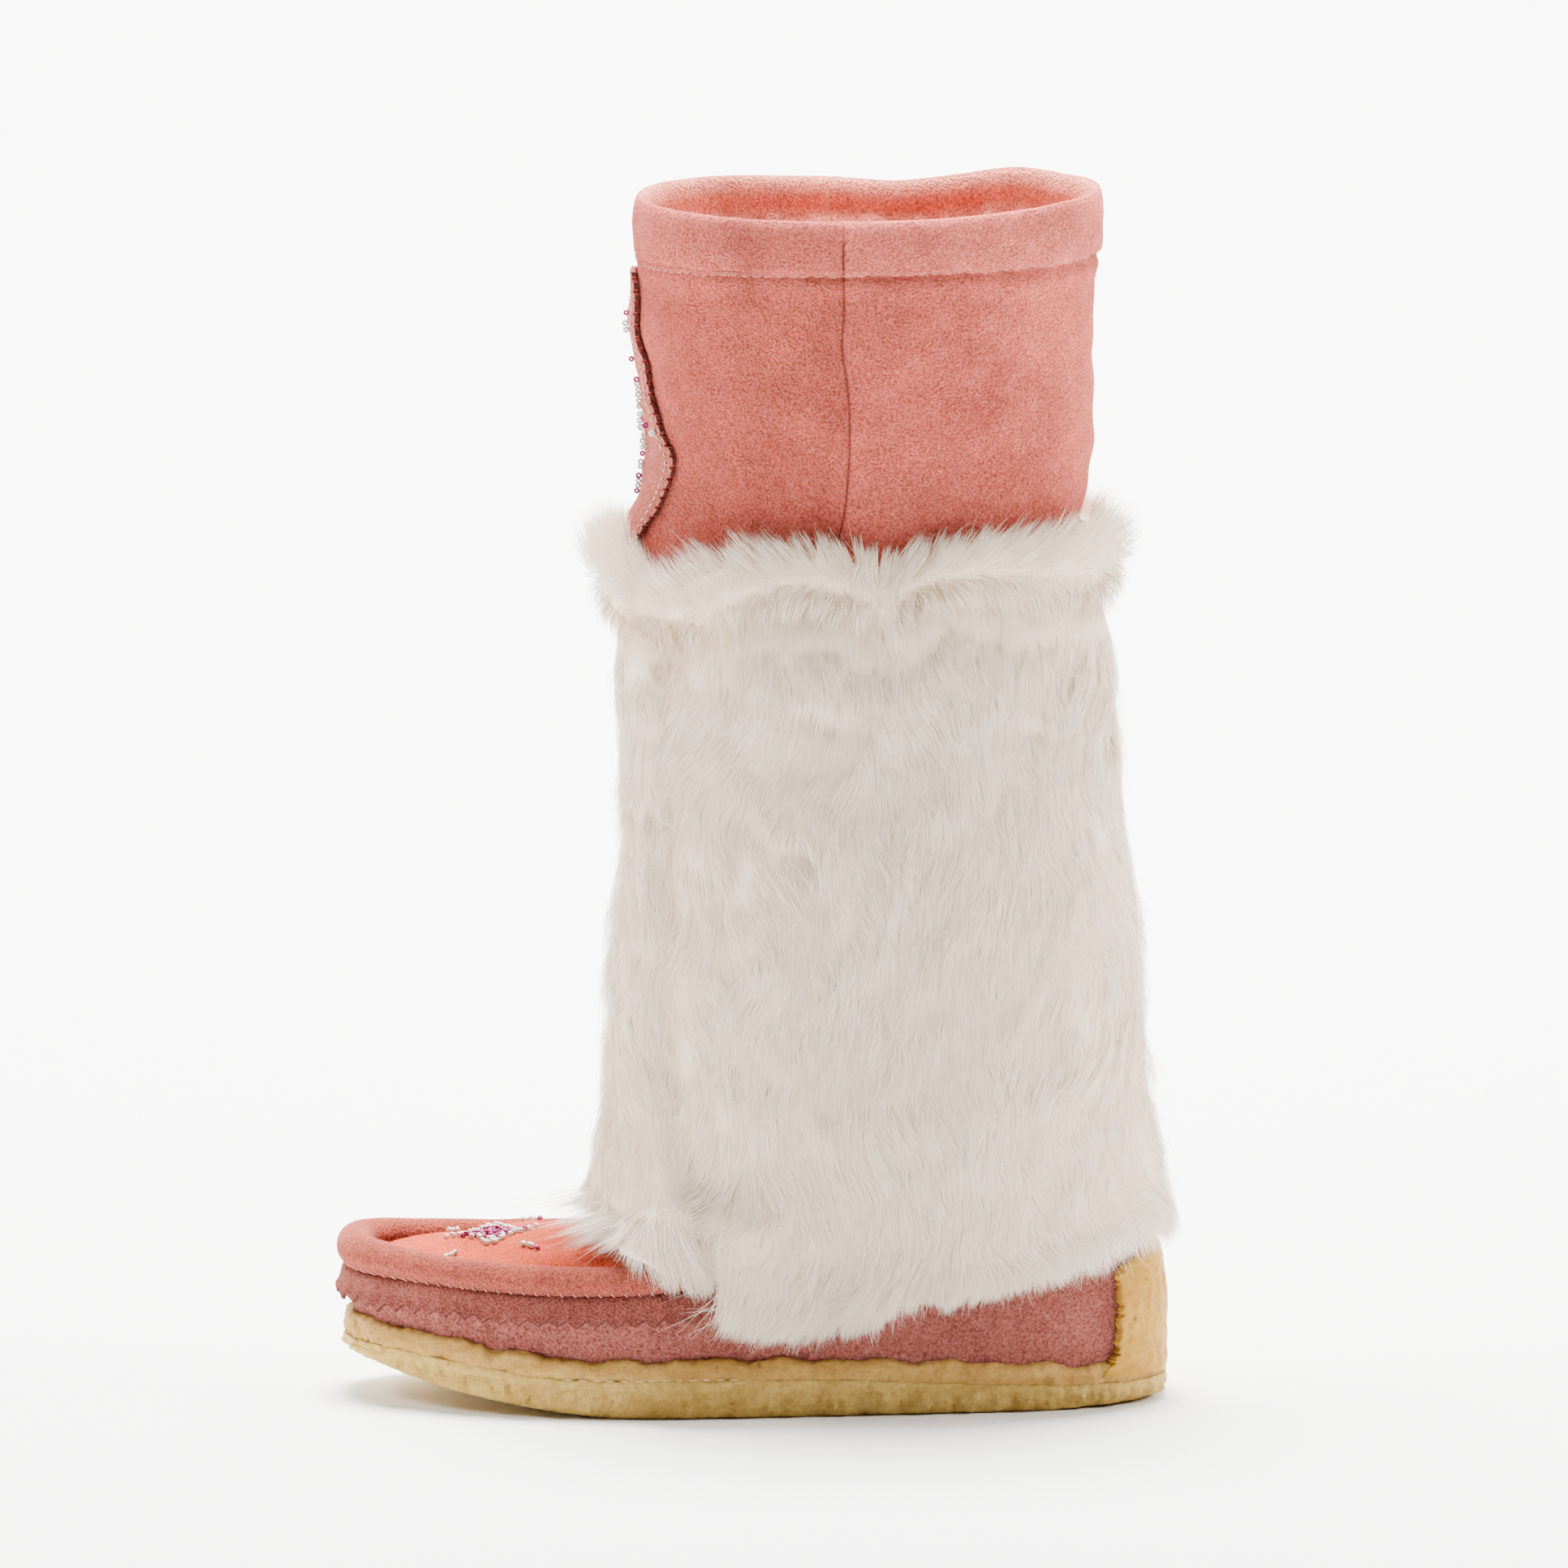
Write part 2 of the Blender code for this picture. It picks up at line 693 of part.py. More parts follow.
def make_shield(material):
    """Leather shield down the middle of the shaft's front, its point under the fur."""
    down_places, width = columns(SHIELD)
    across = np.linspace(-1, 1, 8)
    front = np.zeros(2)
    bottom, top = level_at(front, np.array([SHIELD_TOP - SHIELD_HEIGHT, SHIELD_TOP]))
    outer, inner = [], []
    for level in (bottom, *np.arange(math.ceil(2 * bottom + 0.4) / 2, top - 0.2, 0.5), top):
        down = (SHIELD_TOP - upper_point(front, np.array([level, level]))[0, 2]) / SHIELD_HEIGHT
        half = SHIELD_HALF_WIDTH * curve(np.array([down]), down_places, width)[0]
        theta = across * (half / (SHAFT_WIDTH / 2)) ** (1 / SHAFT_SQUARENESS)
        level = np.full(theta.shape, level)
        skin = upper_point(theta, level)
        normal = outward(theta, level)
        outer.append(skin + (FACET_GAP + SHIELD_THICKNESS) * normal)
        inner.append(skin + FACET_GAP * normal)
    return slab("front_shield", np.stack(outer), np.stack(inner), material)


def fur_seat(rings, turn, height):
    """Plan point and plan normal of what the fur lies on, at an angle in turns and a height."""
    centre_x = (X_FRONT + X_BACK) / 2
    section = np.array([
        [np.interp(height, ring[:, 2], ring[:, axis]) for axis in (0, 1)]
        for ring in np.moveaxis(rings, 1, 0)
    ])
    angle = np.arctan2(-section[:, 1], centre_x - section[:, 0])
    distance = np.hypot(section[:, 0] - centre_x, section[:, 1])
    wanted = np.array([turn - 0.004, turn, turn + 0.004]) * 2 * math.pi
    radius = np.interp(wanted, angle, distance, period=2 * math.pi)
    x = centre_x - radius * np.cos(wanted)
    y = -radius * np.sin(wanted)
    normal = np.array([y[2] - y[0], x[0] - x[2]])
    return np.array([x[1], y[1]]), normal / np.linalg.norm(normal)


def fur_clearance(place, height):
    """Room under the fur for the roll, the apron, the heel wrap and the shield's point."""
    x = place[0]
    roll_end = X_TOE + SOLE_LENGTH * from_toe(2 * math.pi * ROLL_REACH)
    roll_top = 1.1 * ROLL_HEIGHT + ROLL_RADIUS
    wrap_top = WRAP_HEIGHT + RIM_HEIGHT + FLOOR_THICKNESS + BAND_HEIGHT
    shield_point = SHIELD_TOP - SHIELD_HEIGHT
    front = ease((X_FRONT + 2 * SHORT_FADE - x) / SHORT_FADE)
    roll = (ROLL_RADIUS + WALL_INSET + GAP) * ease((roll_end + 1.2 * LONG_FADE - x) / LONG_FADE)
    roll *= ease(1 + (roll_top - height) / (0.7 * LONG_FADE))
    apron = 2.2 * APRON_THICKNESS * front * ease((ANKLE_HEIGHT - height) / (2 * SHORT_FADE))
    wrap = (WRAP_THICKNESS + 2 * FACET_GAP) * ease((x - X_HEEL + 3 * SHORT_FADE) / SHORT_FADE)
    wrap *= ease(1 + (wrap_top - height) / SHORT_FADE)
    shield = (SHIELD_THICKNESS + 4 * FACET_GAP) * front * ease((height - shield_point) / SHORT_FADE + 2)
    return FUR_GAP + max(roll, apron, wrap, shield)


def fur_depth(turn, height_share):
    """Depth of the fur at an angle in turns and a share of its height."""
    places, front, side, back = columns(FUR_PROFILE)
    at = np.array([height_share])
    facing = math.cos(2 * math.pi * turn)
    end = curve(at, places, front if facing > 0 else back)[0]
    weight = abs(facing) ** 1.5
    return FUR_DEPTH * (weight * end + (1 - weight) * curve(at, places, side)[0])


def panel_turn(across, seam, on_front):
    """Angle in turns of a column: front ones fan out to the seam, side ones to the back."""
    margin = FUR_SEAM_GAP / (math.pi * SHAFT_WIDTH)
    if on_front:
        return across * (seam - margin)
    return seam + margin + across * (0.5 - seam - 2 * margin)


def make_fur_panel(name, rings, places, hem_table, side, seed, material):
    """One fur panel: shingled locks on a skin, with a ragged hem and a flared ragged top."""
    rng = np.random.default_rng(seed)
    seam_places, seam_turns = columns(FUR_SEAM)
    hem = ROLL_HEIGHT * curve(np.abs(places), *columns(hem_table))
    top_turns = np.abs(panel_turn(places, seam_turns[-1], hem_table is HEM_FRONT))
    top = FUR_TOP * curve(top_turns, *columns(FUR_EDGE))
    teeth = RAGGED_EDGE * (np.where(np.arange(places.size) % 2, 0.5, -0.5) + rng.uniform(-0.4, 0.4, places.size))
    tufts = rng.uniform(-0.5, 0.5, (len(FUR_ROWS), places.size))
    outer = np.zeros((len(FUR_ROWS), places.size, 3))
    inner = np.zeros_like(outer)
    for j, across in enumerate(places):
        for i, up in enumerate(FUR_ROWS):
            height = hem[j] + (top[j] - hem[j]) * up + teeth[j]
            share = min(height / FUR_TOP, 1.0)
            seam = curve(np.array([share]), seam_places, seam_turns)[0]
            turn = panel_turn(across, seam, hem_table is HEM_FRONT)
            place, normal = fur_seat(rings, side * turn, height)
            flare = FUR_FLARE * ease(1 + (height - top[j]) / FLARE_HEIGHT)
            depth = fur_depth(turn, share) + flare
            if 0 < up < 1:
                depth += LOCK_RELIEF * (0.6 * ((i + j) % 3 - 1) + tufts[i, j])
            clear = fur_clearance(place, height)
            outer[i, j] = (*(place + max(depth, clear + LOCK_RELIEF) * normal), height)
            inner[i, j] = (*(place + clear * normal), height)
    if side < 0:
        outer, inner = outer[:, ::-1], inner[:, ::-1]
    return slab(name, outer, inner, material)


def make_fur(material):
    """The front panel and the two side panels, which meet at the back."""
    theta = ring_angles(360)
    rings = upper_rings(theta, np.zeros(theta.shape))
    front = np.linspace(-1, 1, FUR_FRONT_COLUMNS + 1)
    side = np.linspace(0, 1, FUR_SIDE_COLUMNS + 1)
    make_fur_panel("fur_front", rings, front, HEM_FRONT, 1, 11, material)
    make_fur_panel("fur_outer", rings, side, HEM_SIDE, 1, 12, material)
    make_fur_panel("fur_inner", rings, side, HEM_SIDE, -1, 13, material)


def make_material(name, color, roughness):
    material = bpy.data.materials.new(name)
    material.use_nodes = True
    shader = material.node_tree.nodes["Principled BSDF"]
    shader.inputs["Base Color"].default_value = (*color, 1.0)
    shader.inputs["Roughness"].default_value = roughness
    shader.inputs["Metallic"].default_value = 0.0
    return material


def main():
    for thing in list(bpy.data.objects):
        bpy.data.objects.remove(thing)
    suede = make_material("salmon_suede", (0.74, 0.28, 0.22), 0.95)
    dusky = make_material("dusky_suede", (0.52, 0.21, 0.18), 0.95)
    crepe = make_material("crepe_rubber", (0.72, 0.55, 0.30), 0.70)
    fur = make_material("white_fur", (0.80, 0.76, 0.71), 1.00)
    felt = make_material("insole_felt", (0.66, 0.58, 0.48), 1.00)
    make_upper(suede)
    make_outsole(crepe)
    make_foxing_band(crepe)
    make_heel_wrap(crepe)
    make_insole(felt)
    make_apron(suede)
    make_roll(suede)
    make_trim(dusky)
    make_shield(suede)
    make_fur(fur)


main()
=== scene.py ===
# %% [markdown]
# A tall fur-covered mukluk, the left boot of a pair, dressed for a studio picture.
# The imported model gives the sizes and the places. Everything here is in metres, the toe points
# to -X, the outer side of the foot is -Y, and +Z is up. The frame is loaded first and never
# changed.

# %% Load the frame
import math

import bpy
import numpy as np
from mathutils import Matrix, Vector


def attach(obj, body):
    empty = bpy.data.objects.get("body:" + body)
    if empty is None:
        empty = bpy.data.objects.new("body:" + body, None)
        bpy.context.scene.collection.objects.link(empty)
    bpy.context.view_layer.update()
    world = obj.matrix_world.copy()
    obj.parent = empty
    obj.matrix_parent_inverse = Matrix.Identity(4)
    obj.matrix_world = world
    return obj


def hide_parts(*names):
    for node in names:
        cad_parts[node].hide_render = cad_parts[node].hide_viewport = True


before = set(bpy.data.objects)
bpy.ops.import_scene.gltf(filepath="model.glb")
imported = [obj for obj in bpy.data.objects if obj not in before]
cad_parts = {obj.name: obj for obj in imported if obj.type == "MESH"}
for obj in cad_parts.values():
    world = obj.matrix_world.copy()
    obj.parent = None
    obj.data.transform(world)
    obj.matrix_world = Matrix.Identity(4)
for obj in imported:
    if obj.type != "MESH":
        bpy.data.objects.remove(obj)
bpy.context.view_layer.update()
TURN = 2 * math.pi

# %% [markdown]
# The boot is one surface of rings, laid one above the other from the sole to the collar. A
# shoemaker would work from a last and a leg form. Here each ring is worked out from the length,
# the ball width and the leg's depth, so that every seam, roll and patch can be placed on the
# surface by two numbers: the angle round the boot, and the level counted in rings.

# %% Sizes of sole and foot
SOLE_LENGTH = 0.270
BALL_WIDTH = 0.102
TOE_SPRING = 0.015
FLOOR_THICKNESS = 0.0065
RIM_HEIGHT = 0.0067
BAND_HEIGHT = 0.0068
BAND_THICKNESS = 0.0032
WALL = 0.0025
ROLL_HEIGHT = 0.0455
ROLL_RADIUS = 0.005
APRON_THICKNESS = 0.0016
GAP = 0.0003
FACET_GAP = 0.0006
X_TOE, X_HEEL = -SOLE_LENGTH / 2, SOLE_LENGTH / 2
WALL_INSET = BAND_THICKNESS + GAP

# %% Sizes of the leg
BOOT_HEIGHT = 0.398
ANKLE_HEIGHT = 0.095
SHAFT_DEPTH = 0.153
SHAFT_WIDTH = 0.096
CASING_HEIGHT = 0.019
CASING_BULGE = 0.0024
X_BACK = X_HEEL - 0.016
X_FRONT = X_BACK - SHAFT_DEPTH
CENTRE_X = (X_FRONT + X_BACK) / 2
FUR_TOP = 0.291
FUR_DEPTH = 0.012

# %% Tables of sections, as shares of those sizes
OUTLINE = [
    # from_toe, centre, outer, inner
    (0.00, 0.050, 0.450, 0.450),
    (0.05, 0.045, 0.465, 0.460),
    (0.10, 0.038, 0.500, 0.490),
    (0.20, 0.020, 0.522, 0.500),
    (0.35, -0.005, 0.505, 0.495),
    (0.50, -0.010, 0.460, 0.445),
    (0.65, -0.005, 0.430, 0.410),
    (0.80, 0.000, 0.430, 0.430),
    (0.90, 0.000, 0.445, 0.440),
    (1.00, 0.000, 0.450, 0.450),
]
SOLE_SIDE = [
    # from_toe, floor, rim, band
    (0.00, 0.60, 0.25, 1.05),
    (0.07, 0.72, 0.58, 1.08),
    (0.16, 0.88, 0.75, 1.00),
    (0.25, 0.96, 0.76, 1.00),
    (0.36, 1.00, 0.97, 0.95),
    (0.45, 1.00, 1.00, 1.00),
    (0.65, 1.00, 0.78, 1.00),
    (0.79, 1.00, 0.46, 1.05),
    (0.90, 1.00, 0.30, 0.95),
    (1.00, 1.00, 0.30, 0.95),
]
ROLL_LINE = [
    # from_toe, height
    (0.00, 1.066), (0.10, 1.020), (0.20, 0.993), (0.35, 1.000), (0.50, 1.060), (0.65, 1.090), (1.00, 1.090),
]
INSTEP = [
    # run_front, rise_front, run_side, rise_side
    (0.100, 0.020, 0.10, 0.10),
    (0.280, 0.050, 0.26, 0.22),
    (0.500, 0.095, 0.44, 0.36),
    (0.710, 0.135, 0.60, 0.50),
    (0.860, 0.190, 0.75, 0.64),
    (0.935, 0.340, 0.87, 0.78),
    (0.978, 0.620, 0.95, 0.90),
]
SHAFT = [
    # height, front, back, width
    (0.000, -0.049, 0.000, 0.96),
    (0.181, -0.020, -0.020, 0.95),
    (0.395, 0.003, -0.069, 0.94),
    (0.539, -0.026, -0.075, 0.96),
    (0.612, -0.047, -0.077, 0.98),
    (0.645, -0.033, -0.075, 0.98),
    (0.681, -0.011, -0.067, 0.98),
    (0.734, -0.001, -0.059, 0.97),
    (0.786, -0.003, -0.054, 0.98),
    (0.822, -0.013, -0.054, 0.98),
    (0.862, -0.034, -0.051, 0.99),
    (0.898, -0.029, -0.049, 1.00),
]
CASING = [
    # height, bulge
    (0.00, 0.00), (0.07, 0.62), (0.30, 0.95), (0.60, 1.00), (0.88, 0.85), (1.00, 0.25),
]

# %% [markdown]
# Three small helpers carry the whole boot. A smooth curve is run through the rows of a table, an
# easing step blends from one form to the next, and a sum of waves gives hand-made unevenness
# that is the same each time the script is run.

# %% Helpers for tables and waves
def columns(table):
    """The table's columns as arrays."""
    return [np.array(values, float) for values in zip(*table)]


def curve(at, places, values):
    """Cubic through the rows, each with the slope between its neighbours."""
    slopes = np.gradient(values, places)
    row = np.clip(np.searchsorted(places, at, side="right") - 1, 0, len(places) - 2)
    width = places[row + 1] - places[row]
    part = np.clip((at - places[row]) / width, 0.0, 1.0)
    return ((1 + 2 * part) * (1 - part) ** 2 * values[row]
            + part * (1 - part) ** 2 * width * slopes[row]
            + part ** 2 * (3 - 2 * part) * values[row + 1]
            + part ** 2 * (part - 1) * width * slopes[row + 1])


def ease(value):
    """Three times the square less twice the cube, between 0 and 1."""
    value = np.clip(value, 0.0, 1.0)
    return value * value * (3 - 2 * value)


def bump(value, width):
    """Bell curve: one over e at one width from the middle."""
    return np.exp(-(value / width) ** 2)


def unit(vectors, floor=0.0):
    """Vectors along the last axis, each divided by its length."""
    return vectors / (np.linalg.norm(vectors, axis=-1, keepdims=True) + floor)


def round_angles(count):
    """Angles at even steps round a full turn."""
    return np.arange(count) * TURN / count


def wrapped(angle):
    """The angle brought between minus and plus half a turn."""
    return np.angle(np.exp(1j * angle))


def waves(points, size, seed, count=9):
    """Sum of sine waves of about one size in random directions, between about -1 and 1."""
    rng = np.random.default_rng(seed)
    total = np.zeros(points.shape[:-1])
    for _ in range(count):
        way = rng.normal(size=points.shape[-1])
        way *= rng.uniform(0.6, 1.5) * TURN / size / np.linalg.norm(way)
        total += np.sin(points @ way + rng.uniform(0, TURN))
    return total / math.sqrt(count)


print("helpers ready; one wave sample", round(float(waves(np.zeros(3), 0.01, 1)), 3))

# %% Rings of the sole's outline
def signed_power(value, power):
    return np.sign(value) * np.abs(value) ** power


def from_toe(theta):
    """Share of the sole's length: half of one less the cosine of the angle."""
    return (1 - np.cos(theta)) / 2


def toe_weight(theta):
    return ease(1 - from_toe(theta) / 0.14)


def sole_edge(theta):
    """Length runs with the cosine of the angle, width with a power of its sine."""
    places, centre, outer, inner = columns(OUTLINE)
    share = from_toe(theta)
    side = np.sin(theta)
    half = np.where(side >= 0, curve(share, places, outer), curve(share, places, inner))
    y = BALL_WIDTH * (curve(share, places, centre) - half * signed_power(side, 0.70))
    return np.stack([X_TOE + SOLE_LENGTH * share, y], -1)


def outline(theta, inset):
    """The sole's edge moved inwards, square to its own direction."""
    along = unit(sole_edge(theta + 0.02) - sole_edge(theta - 0.02))
    inward = np.stack([-along[..., 1], along[..., 0]], -1)
    return sole_edge(theta) + np.broadcast_to(inset, theta.shape)[..., None] * inward


def spring(x):
    """Underside: flat on the floor, then rising to the toe with a power of the distance."""
    start = X_TOE + 0.355 * SOLE_LENGTH
    return TOE_SPRING * np.clip((start - x) / (start - X_TOE), 0.0, 1.0) ** 1.6


def sole_heights(x):
    places, floor, rim, band = columns(SOLE_SIDE)
    share = np.clip((x - X_TOE) / SOLE_LENGTH, 0.0, 1.0)
    floor_top = spring(x) + FLOOR_THICKNESS * curve(share, places, floor)
    rim_top = floor_top + RIM_HEIGHT * curve(share, places, rim)
    wave = 0.0005 * (np.sin(share * 61) + np.sin(share * 97))
    return floor_top, rim_top, rim_top + BAND_HEIGHT * curve(share, places, band) + wave


def lifted(plan, height):
    return np.concatenate([plan, np.broadcast_to(height, plan.shape[:-1])[..., None]], -1)


# %% Rings of foot and leg
def roll_radius(theta):
    return ROLL_RADIUS * (1 + 0.2 * toe_weight(theta))


def roll_inset(theta):
    return roll_radius(theta) - 0.0004 - 0.0020 * toe_weight(theta)


def roll_height(theta):
    places, height = columns(ROLL_LINE)
    return ROLL_HEIGHT * curve(from_toe(theta), places, height)


def shelf_weight(theta):
    return 1 - ease((from_toe(theta) - 0.45) / 0.10)


def wall_inset(theta, share):
    lean = 0.0018 * toe_weight(theta) * share
    return WALL_INSET - lean - 0.10 * WALL_INSET * np.sin(math.pi * share)


def shaft_section(theta, height, front, back, width, bulge):
    """Rounded oval: cosine and sine of the angle, each to a power a little under one."""
    x_front = X_FRONT + front * SHAFT_DEPTH - bulge
    x_back = X_BACK + back * SHAFT_DEPTH + bulge
    x = (x_front + x_back) / 2 - (x_back - x_front) / 2 * signed_power(np.cos(theta), 0.92)
    y = -(width * SHAFT_WIDTH / 2 + bulge) * signed_power(np.sin(theta), 0.92)
    return lifted(np.stack([x, y], -1), height)


def shaft_rings(theta):
    rings = []
    for share, front, back, width in SHAFT:
        height = ANKLE_HEIGHT + share * (BOOT_HEIGHT - ANKLE_HEIGHT)
        rings.append(shaft_section(theta, height, front, back, width, 0.0))
    tilt = -0.0015 * np.cos(theta)
    for share, bulge in CASING:
        height = BOOT_HEIGHT - CASING_HEIGHT * (1 - share) + tilt + share * 0.0014 * np.cos(2 * theta)
        rings.append(shaft_section(theta, height, *SHAFT[-1][1:], bulge * CASING_BULGE))
    return rings


def foot_rings(theta, shelf):
    """Wall from the floor to the roll, then the shelf under the roll and the riser inside it."""
    floor_top, _, band_top = sole_heights(sole_edge(theta)[..., 0])
    radius = roll_radius(theta)
    seat = roll_height(theta) - radius - GAP
    back_edge = wall_inset(theta, 1.0) + 0.0006
    riser = roll_inset(theta) + radius + APRON_THICKNESS + 2 * FACET_GAP
    shelf_inset = back_edge + shelf * (riser - back_edge)
    return [
        lifted(outline(theta, WALL_INSET), floor_top + GAP),
        lifted(outline(theta, WALL_INSET), band_top),
        lifted(outline(theta, wall_inset(theta, 0.6)), band_top + 0.6 * (seat - band_top)),
        lifted(outline(theta, back_edge), seat),
        lifted(outline(theta, shelf_inset), seat + 0.001 + 0.0005 * shelf),
        lifted(outline(theta, shelf_inset + GAP), seat + 0.5 * radius + GAP),
    ]


def upper_rings(theta, shelf):
    """Every ring from the sole to the rim; instep rings lie between the foot's and the ankle's."""
    rings = foot_rings(theta, shelf)
    shaft = shaft_rings(theta)
    foot, ankle = rings[-1], shaft[0]
    front = ease((np.cos(theta) + 0.17) / 0.81)
    for run_front, rise_front, run_side, rise_side in INSTEP:
        run = (front * run_front + (1 - front) * run_side)[..., None]
        rise = front * rise_front + (1 - front) * rise_side
        ring = foot + run * (ankle - foot)
        ring[..., 2] = foot[..., 2] + rise * (ankle[..., 2] - foot[..., 2])
        rings.append(ring)
    return np.stack(rings + shaft)


LAST_RING = len(upper_rings(np.zeros(1), np.ones(1))) - 1
print("rings in the upper", LAST_RING + 1)

# %% [markdown]
# Between the rings the surface has to run as smoothly as pulled leather, except at the shelf
# under the roll, where it is creased. A cubic through four rings does both: its slope at a ring
# is half of the step between the ring's neighbours, with the smaller step at a sharp corner.

# %% Any point of the upper
def upper_point(theta, level, shelf=None):
    """Cubic between rings with neighbour slopes, for arrays of angles and levels."""
    theta, level = np.broadcast_arrays(theta, level)
    flat_theta, flat_level = theta.ravel(), level.ravel()
    shelf = shelf_weight(flat_theta) if shelf is None else np.full(flat_theta.shape, shelf)
    rings = upper_rings(flat_theta, shelf)
    low = np.clip(np.floor(flat_level).astype(int), 0, LAST_RING - 1)
    pick = np.arange(flat_theta.size)
    part = (flat_level - low)[:, None]
    a, b = rings[low, pick], rings[low + 1, pick]
    before = rings[np.maximum(low - 1, 0), pick]
    after = rings[np.minimum(low + 2, LAST_RING), pick]
    step = np.linalg.norm(b - a, axis=1, keepdims=True)
    slope_a = limited((b - before) / 2, step, np.linalg.norm(a - before, axis=1, keepdims=True))
    slope_b = limited((after - a) / 2, step, np.linalg.norm(after - b, axis=1, keepdims=True))
    point = ((1 + 2 * part) * (1 - part) ** 2 * a + part * (1 - part) ** 2 * slope_a
             + part ** 2 * (3 - 2 * part) * b + part ** 2 * (part - 1) * slope_b)
    return point.reshape(theta.shape + (3,))


def limited(slope, step, other):
    """The slope shortened to the smaller of the steps on its two sides."""
    size = np.linalg.norm(slope, axis=1, keepdims=True) + 1e-9
    return slope * np.minimum(1.0, np.minimum(step, np.maximum(other, 1e-5)) / size)


def upper_normal(theta, level):
    """Cross product of the steps round and up the surface."""
    turn = upper_point(theta + 0.015, level) - upper_point(theta - 0.015, level)
    rise = (upper_point(theta, np.minimum(level + 0.2, LAST_RING))
            - upper_point(theta, np.maximum(level - 0.2, 0)))
    return unit(np.cross(turn, rise))


def level_at(theta, height):
    """Level at which the surface reaches a height, for each angle of one row."""
    heights = upper_rings(theta, shelf_weight(theta))[..., 2]
    levels = np.arange(LAST_RING + 1)
    height = np.broadcast_to(height, theta.shape)
    return np.array([np.interp(h, heights[:, i], levels) for i, h in enumerate(height)])


# %% [markdown]
# A mesh is filled straight from arrays. Grids are closed round their columns, and where a piece
# is a strip or a patch it gets a back and four edges, so that every piece is a closed body.

# %% Meshes from arrays
def mesh_piece(name, points, faces, material, uv=None):
    """Object from an array of points and one or more arrays of equal-sided faces."""
    faces = [np.asarray(part, np.int32) for part in (faces if isinstance(faces, list) else [faces])]
    corners = np.concatenate([part.ravel() for part in faces])
    sides = np.concatenate([np.full(len(part), part.shape[1], np.int32) for part in faces])
    mesh = bpy.data.meshes.new(name)
    points = np.asarray(points, np.float32).reshape(-1, 3)
    mesh.vertices.add(len(points))
    mesh.vertices.foreach_set("co", points.ravel())
    mesh.loops.add(len(corners))
    mesh.loops.foreach_set("vertex_index", corners)
    mesh.polygons.add(len(sides))
    mesh.polygons.foreach_set("loop_start", np.cumsum(sides, dtype=np.int32) - sides)
    mesh.polygons.foreach_set("use_smooth", np.full(len(sides), True))
    mesh.update(calc_edges=True)
    if uv is not None:
        layer = mesh.uv_layers.new(name="place")
        layer.data.foreach_set("uv", np.asarray(uv, np.float32).reshape(-1, 2)[corners].ravel())
    mesh.materials.append(material)
    piece = bpy.data.objects.new(name, mesh)
    bpy.context.scene.collection.objects.link(piece)
    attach(piece, "root")
    return piece


def ring_quads(rows, count, wrap_rows=False):
    """Quads between neighbouring rings of a stack, round all columns."""
    row = np.arange(rows if wrap_rows else rows - 1)[:, None]
    column = np.arange(count)[None, :]
    next_row = (row + 1) % rows
    next_column = (column + 1) % count
    corners = [row * count + column, row * count + next_column,
               next_row * count + next_column, next_row * count + column]
    return np.stack(np.broadcast_arrays(*corners), -1).reshape(-1, 4)


def slab_quads(rows, count):
    """Quads of a patch with a front, a back and four edges."""
    row, column = np.meshgrid(np.arange(rows - 1), np.arange(count - 1), indexing="ij")
    a = row * count + column
    front = np.stack([a, a + 1, a + count + 1, a + count], -1).reshape(-1, 4)
    size = rows * count
    back = front[:, ::-1] + size
    j = np.arange(count - 1)
    top = (rows - 1) * count + j
    i = np.arange(rows - 1)
    left, right = i * count, i * count + count - 1
    edges = [
        np.stack([j, j + size, j + size + 1, j + 1], -1),
        np.stack([top, top + 1, top + size + 1, top + size], -1),
        np.stack([left, left + count, left + count + size, left + size], -1),
        np.stack([right, right + size, right + size + count, right + count], -1),
    ]
    return np.concatenate([front, back, *edges])


def point_values(piece, name, values):
    """A named number on every point, for the materials to read."""
    layer = piece.data.attributes.new(name, "FLOAT", "POINT")
    layer.data.foreach_set("value", np.asarray(values, np.float32).ravel())


def slab_piece(name, outer, inner, material, uv=None):
    """Closed patch from its outer and inner grids, creased at its four edges."""
    rows, count = outer.shape[:2]
    points = np.concatenate([outer.reshape(-1, 3), inner.reshape(-1, 3)])
    if uv is not None:
        uv = np.concatenate([uv.reshape(-1, 2)] * 2)
    piece = mesh_piece(name, points, slab_quads(rows, count), material, uv)
    piece.data.set_sharp_from_angle(angle=math.radians(50))
    return piece


def ball_beads(name, centres, axes, radii, material):
    """Seed beads: a ten-sided ring of six-sided section round each bead's own thread."""
    ring, section = 10, 6
    a, b = round_angles(ring), round_angles(section)
    first = unit(np.cross(axes, (0.3, 0.2, 0.93)))
    other = np.cross(axes, first)
    spoke = (np.cos(a)[None, :, None] * first[:, None] + np.sin(a)[None, :, None] * other[:, None])
    out = radii[:, None] * (0.62 + 0.38 * np.cos(b))[None, :]
    up = radii[:, None] * 0.72 * np.sin(b)[None, :]
    points = (centres[:, None, None] + spoke[:, :, None] * out[:, None, :, None]
              + axes[:, None, None] * up[:, None, :, None])
    quads = ring_quads(ring, section, wrap_rows=True)
    count = ring * section
    every = (quads[None] + (np.arange(len(centres)) * count)[:, None, None]).reshape(-1, 4)
    return mesh_piece(name, points, every, material)


# %% [markdown]
# Brushed suede has no gloss. Its look comes from a short nap: a fine pebbled grain, small clumps
# that lie one way or the other, and broad paler and darker patches where a hand has brushed it.
# All are noises in the boot's own coordinates, mixed into the colour and the bump. Sheen gives
# the pale edge that nap shows at a slant.

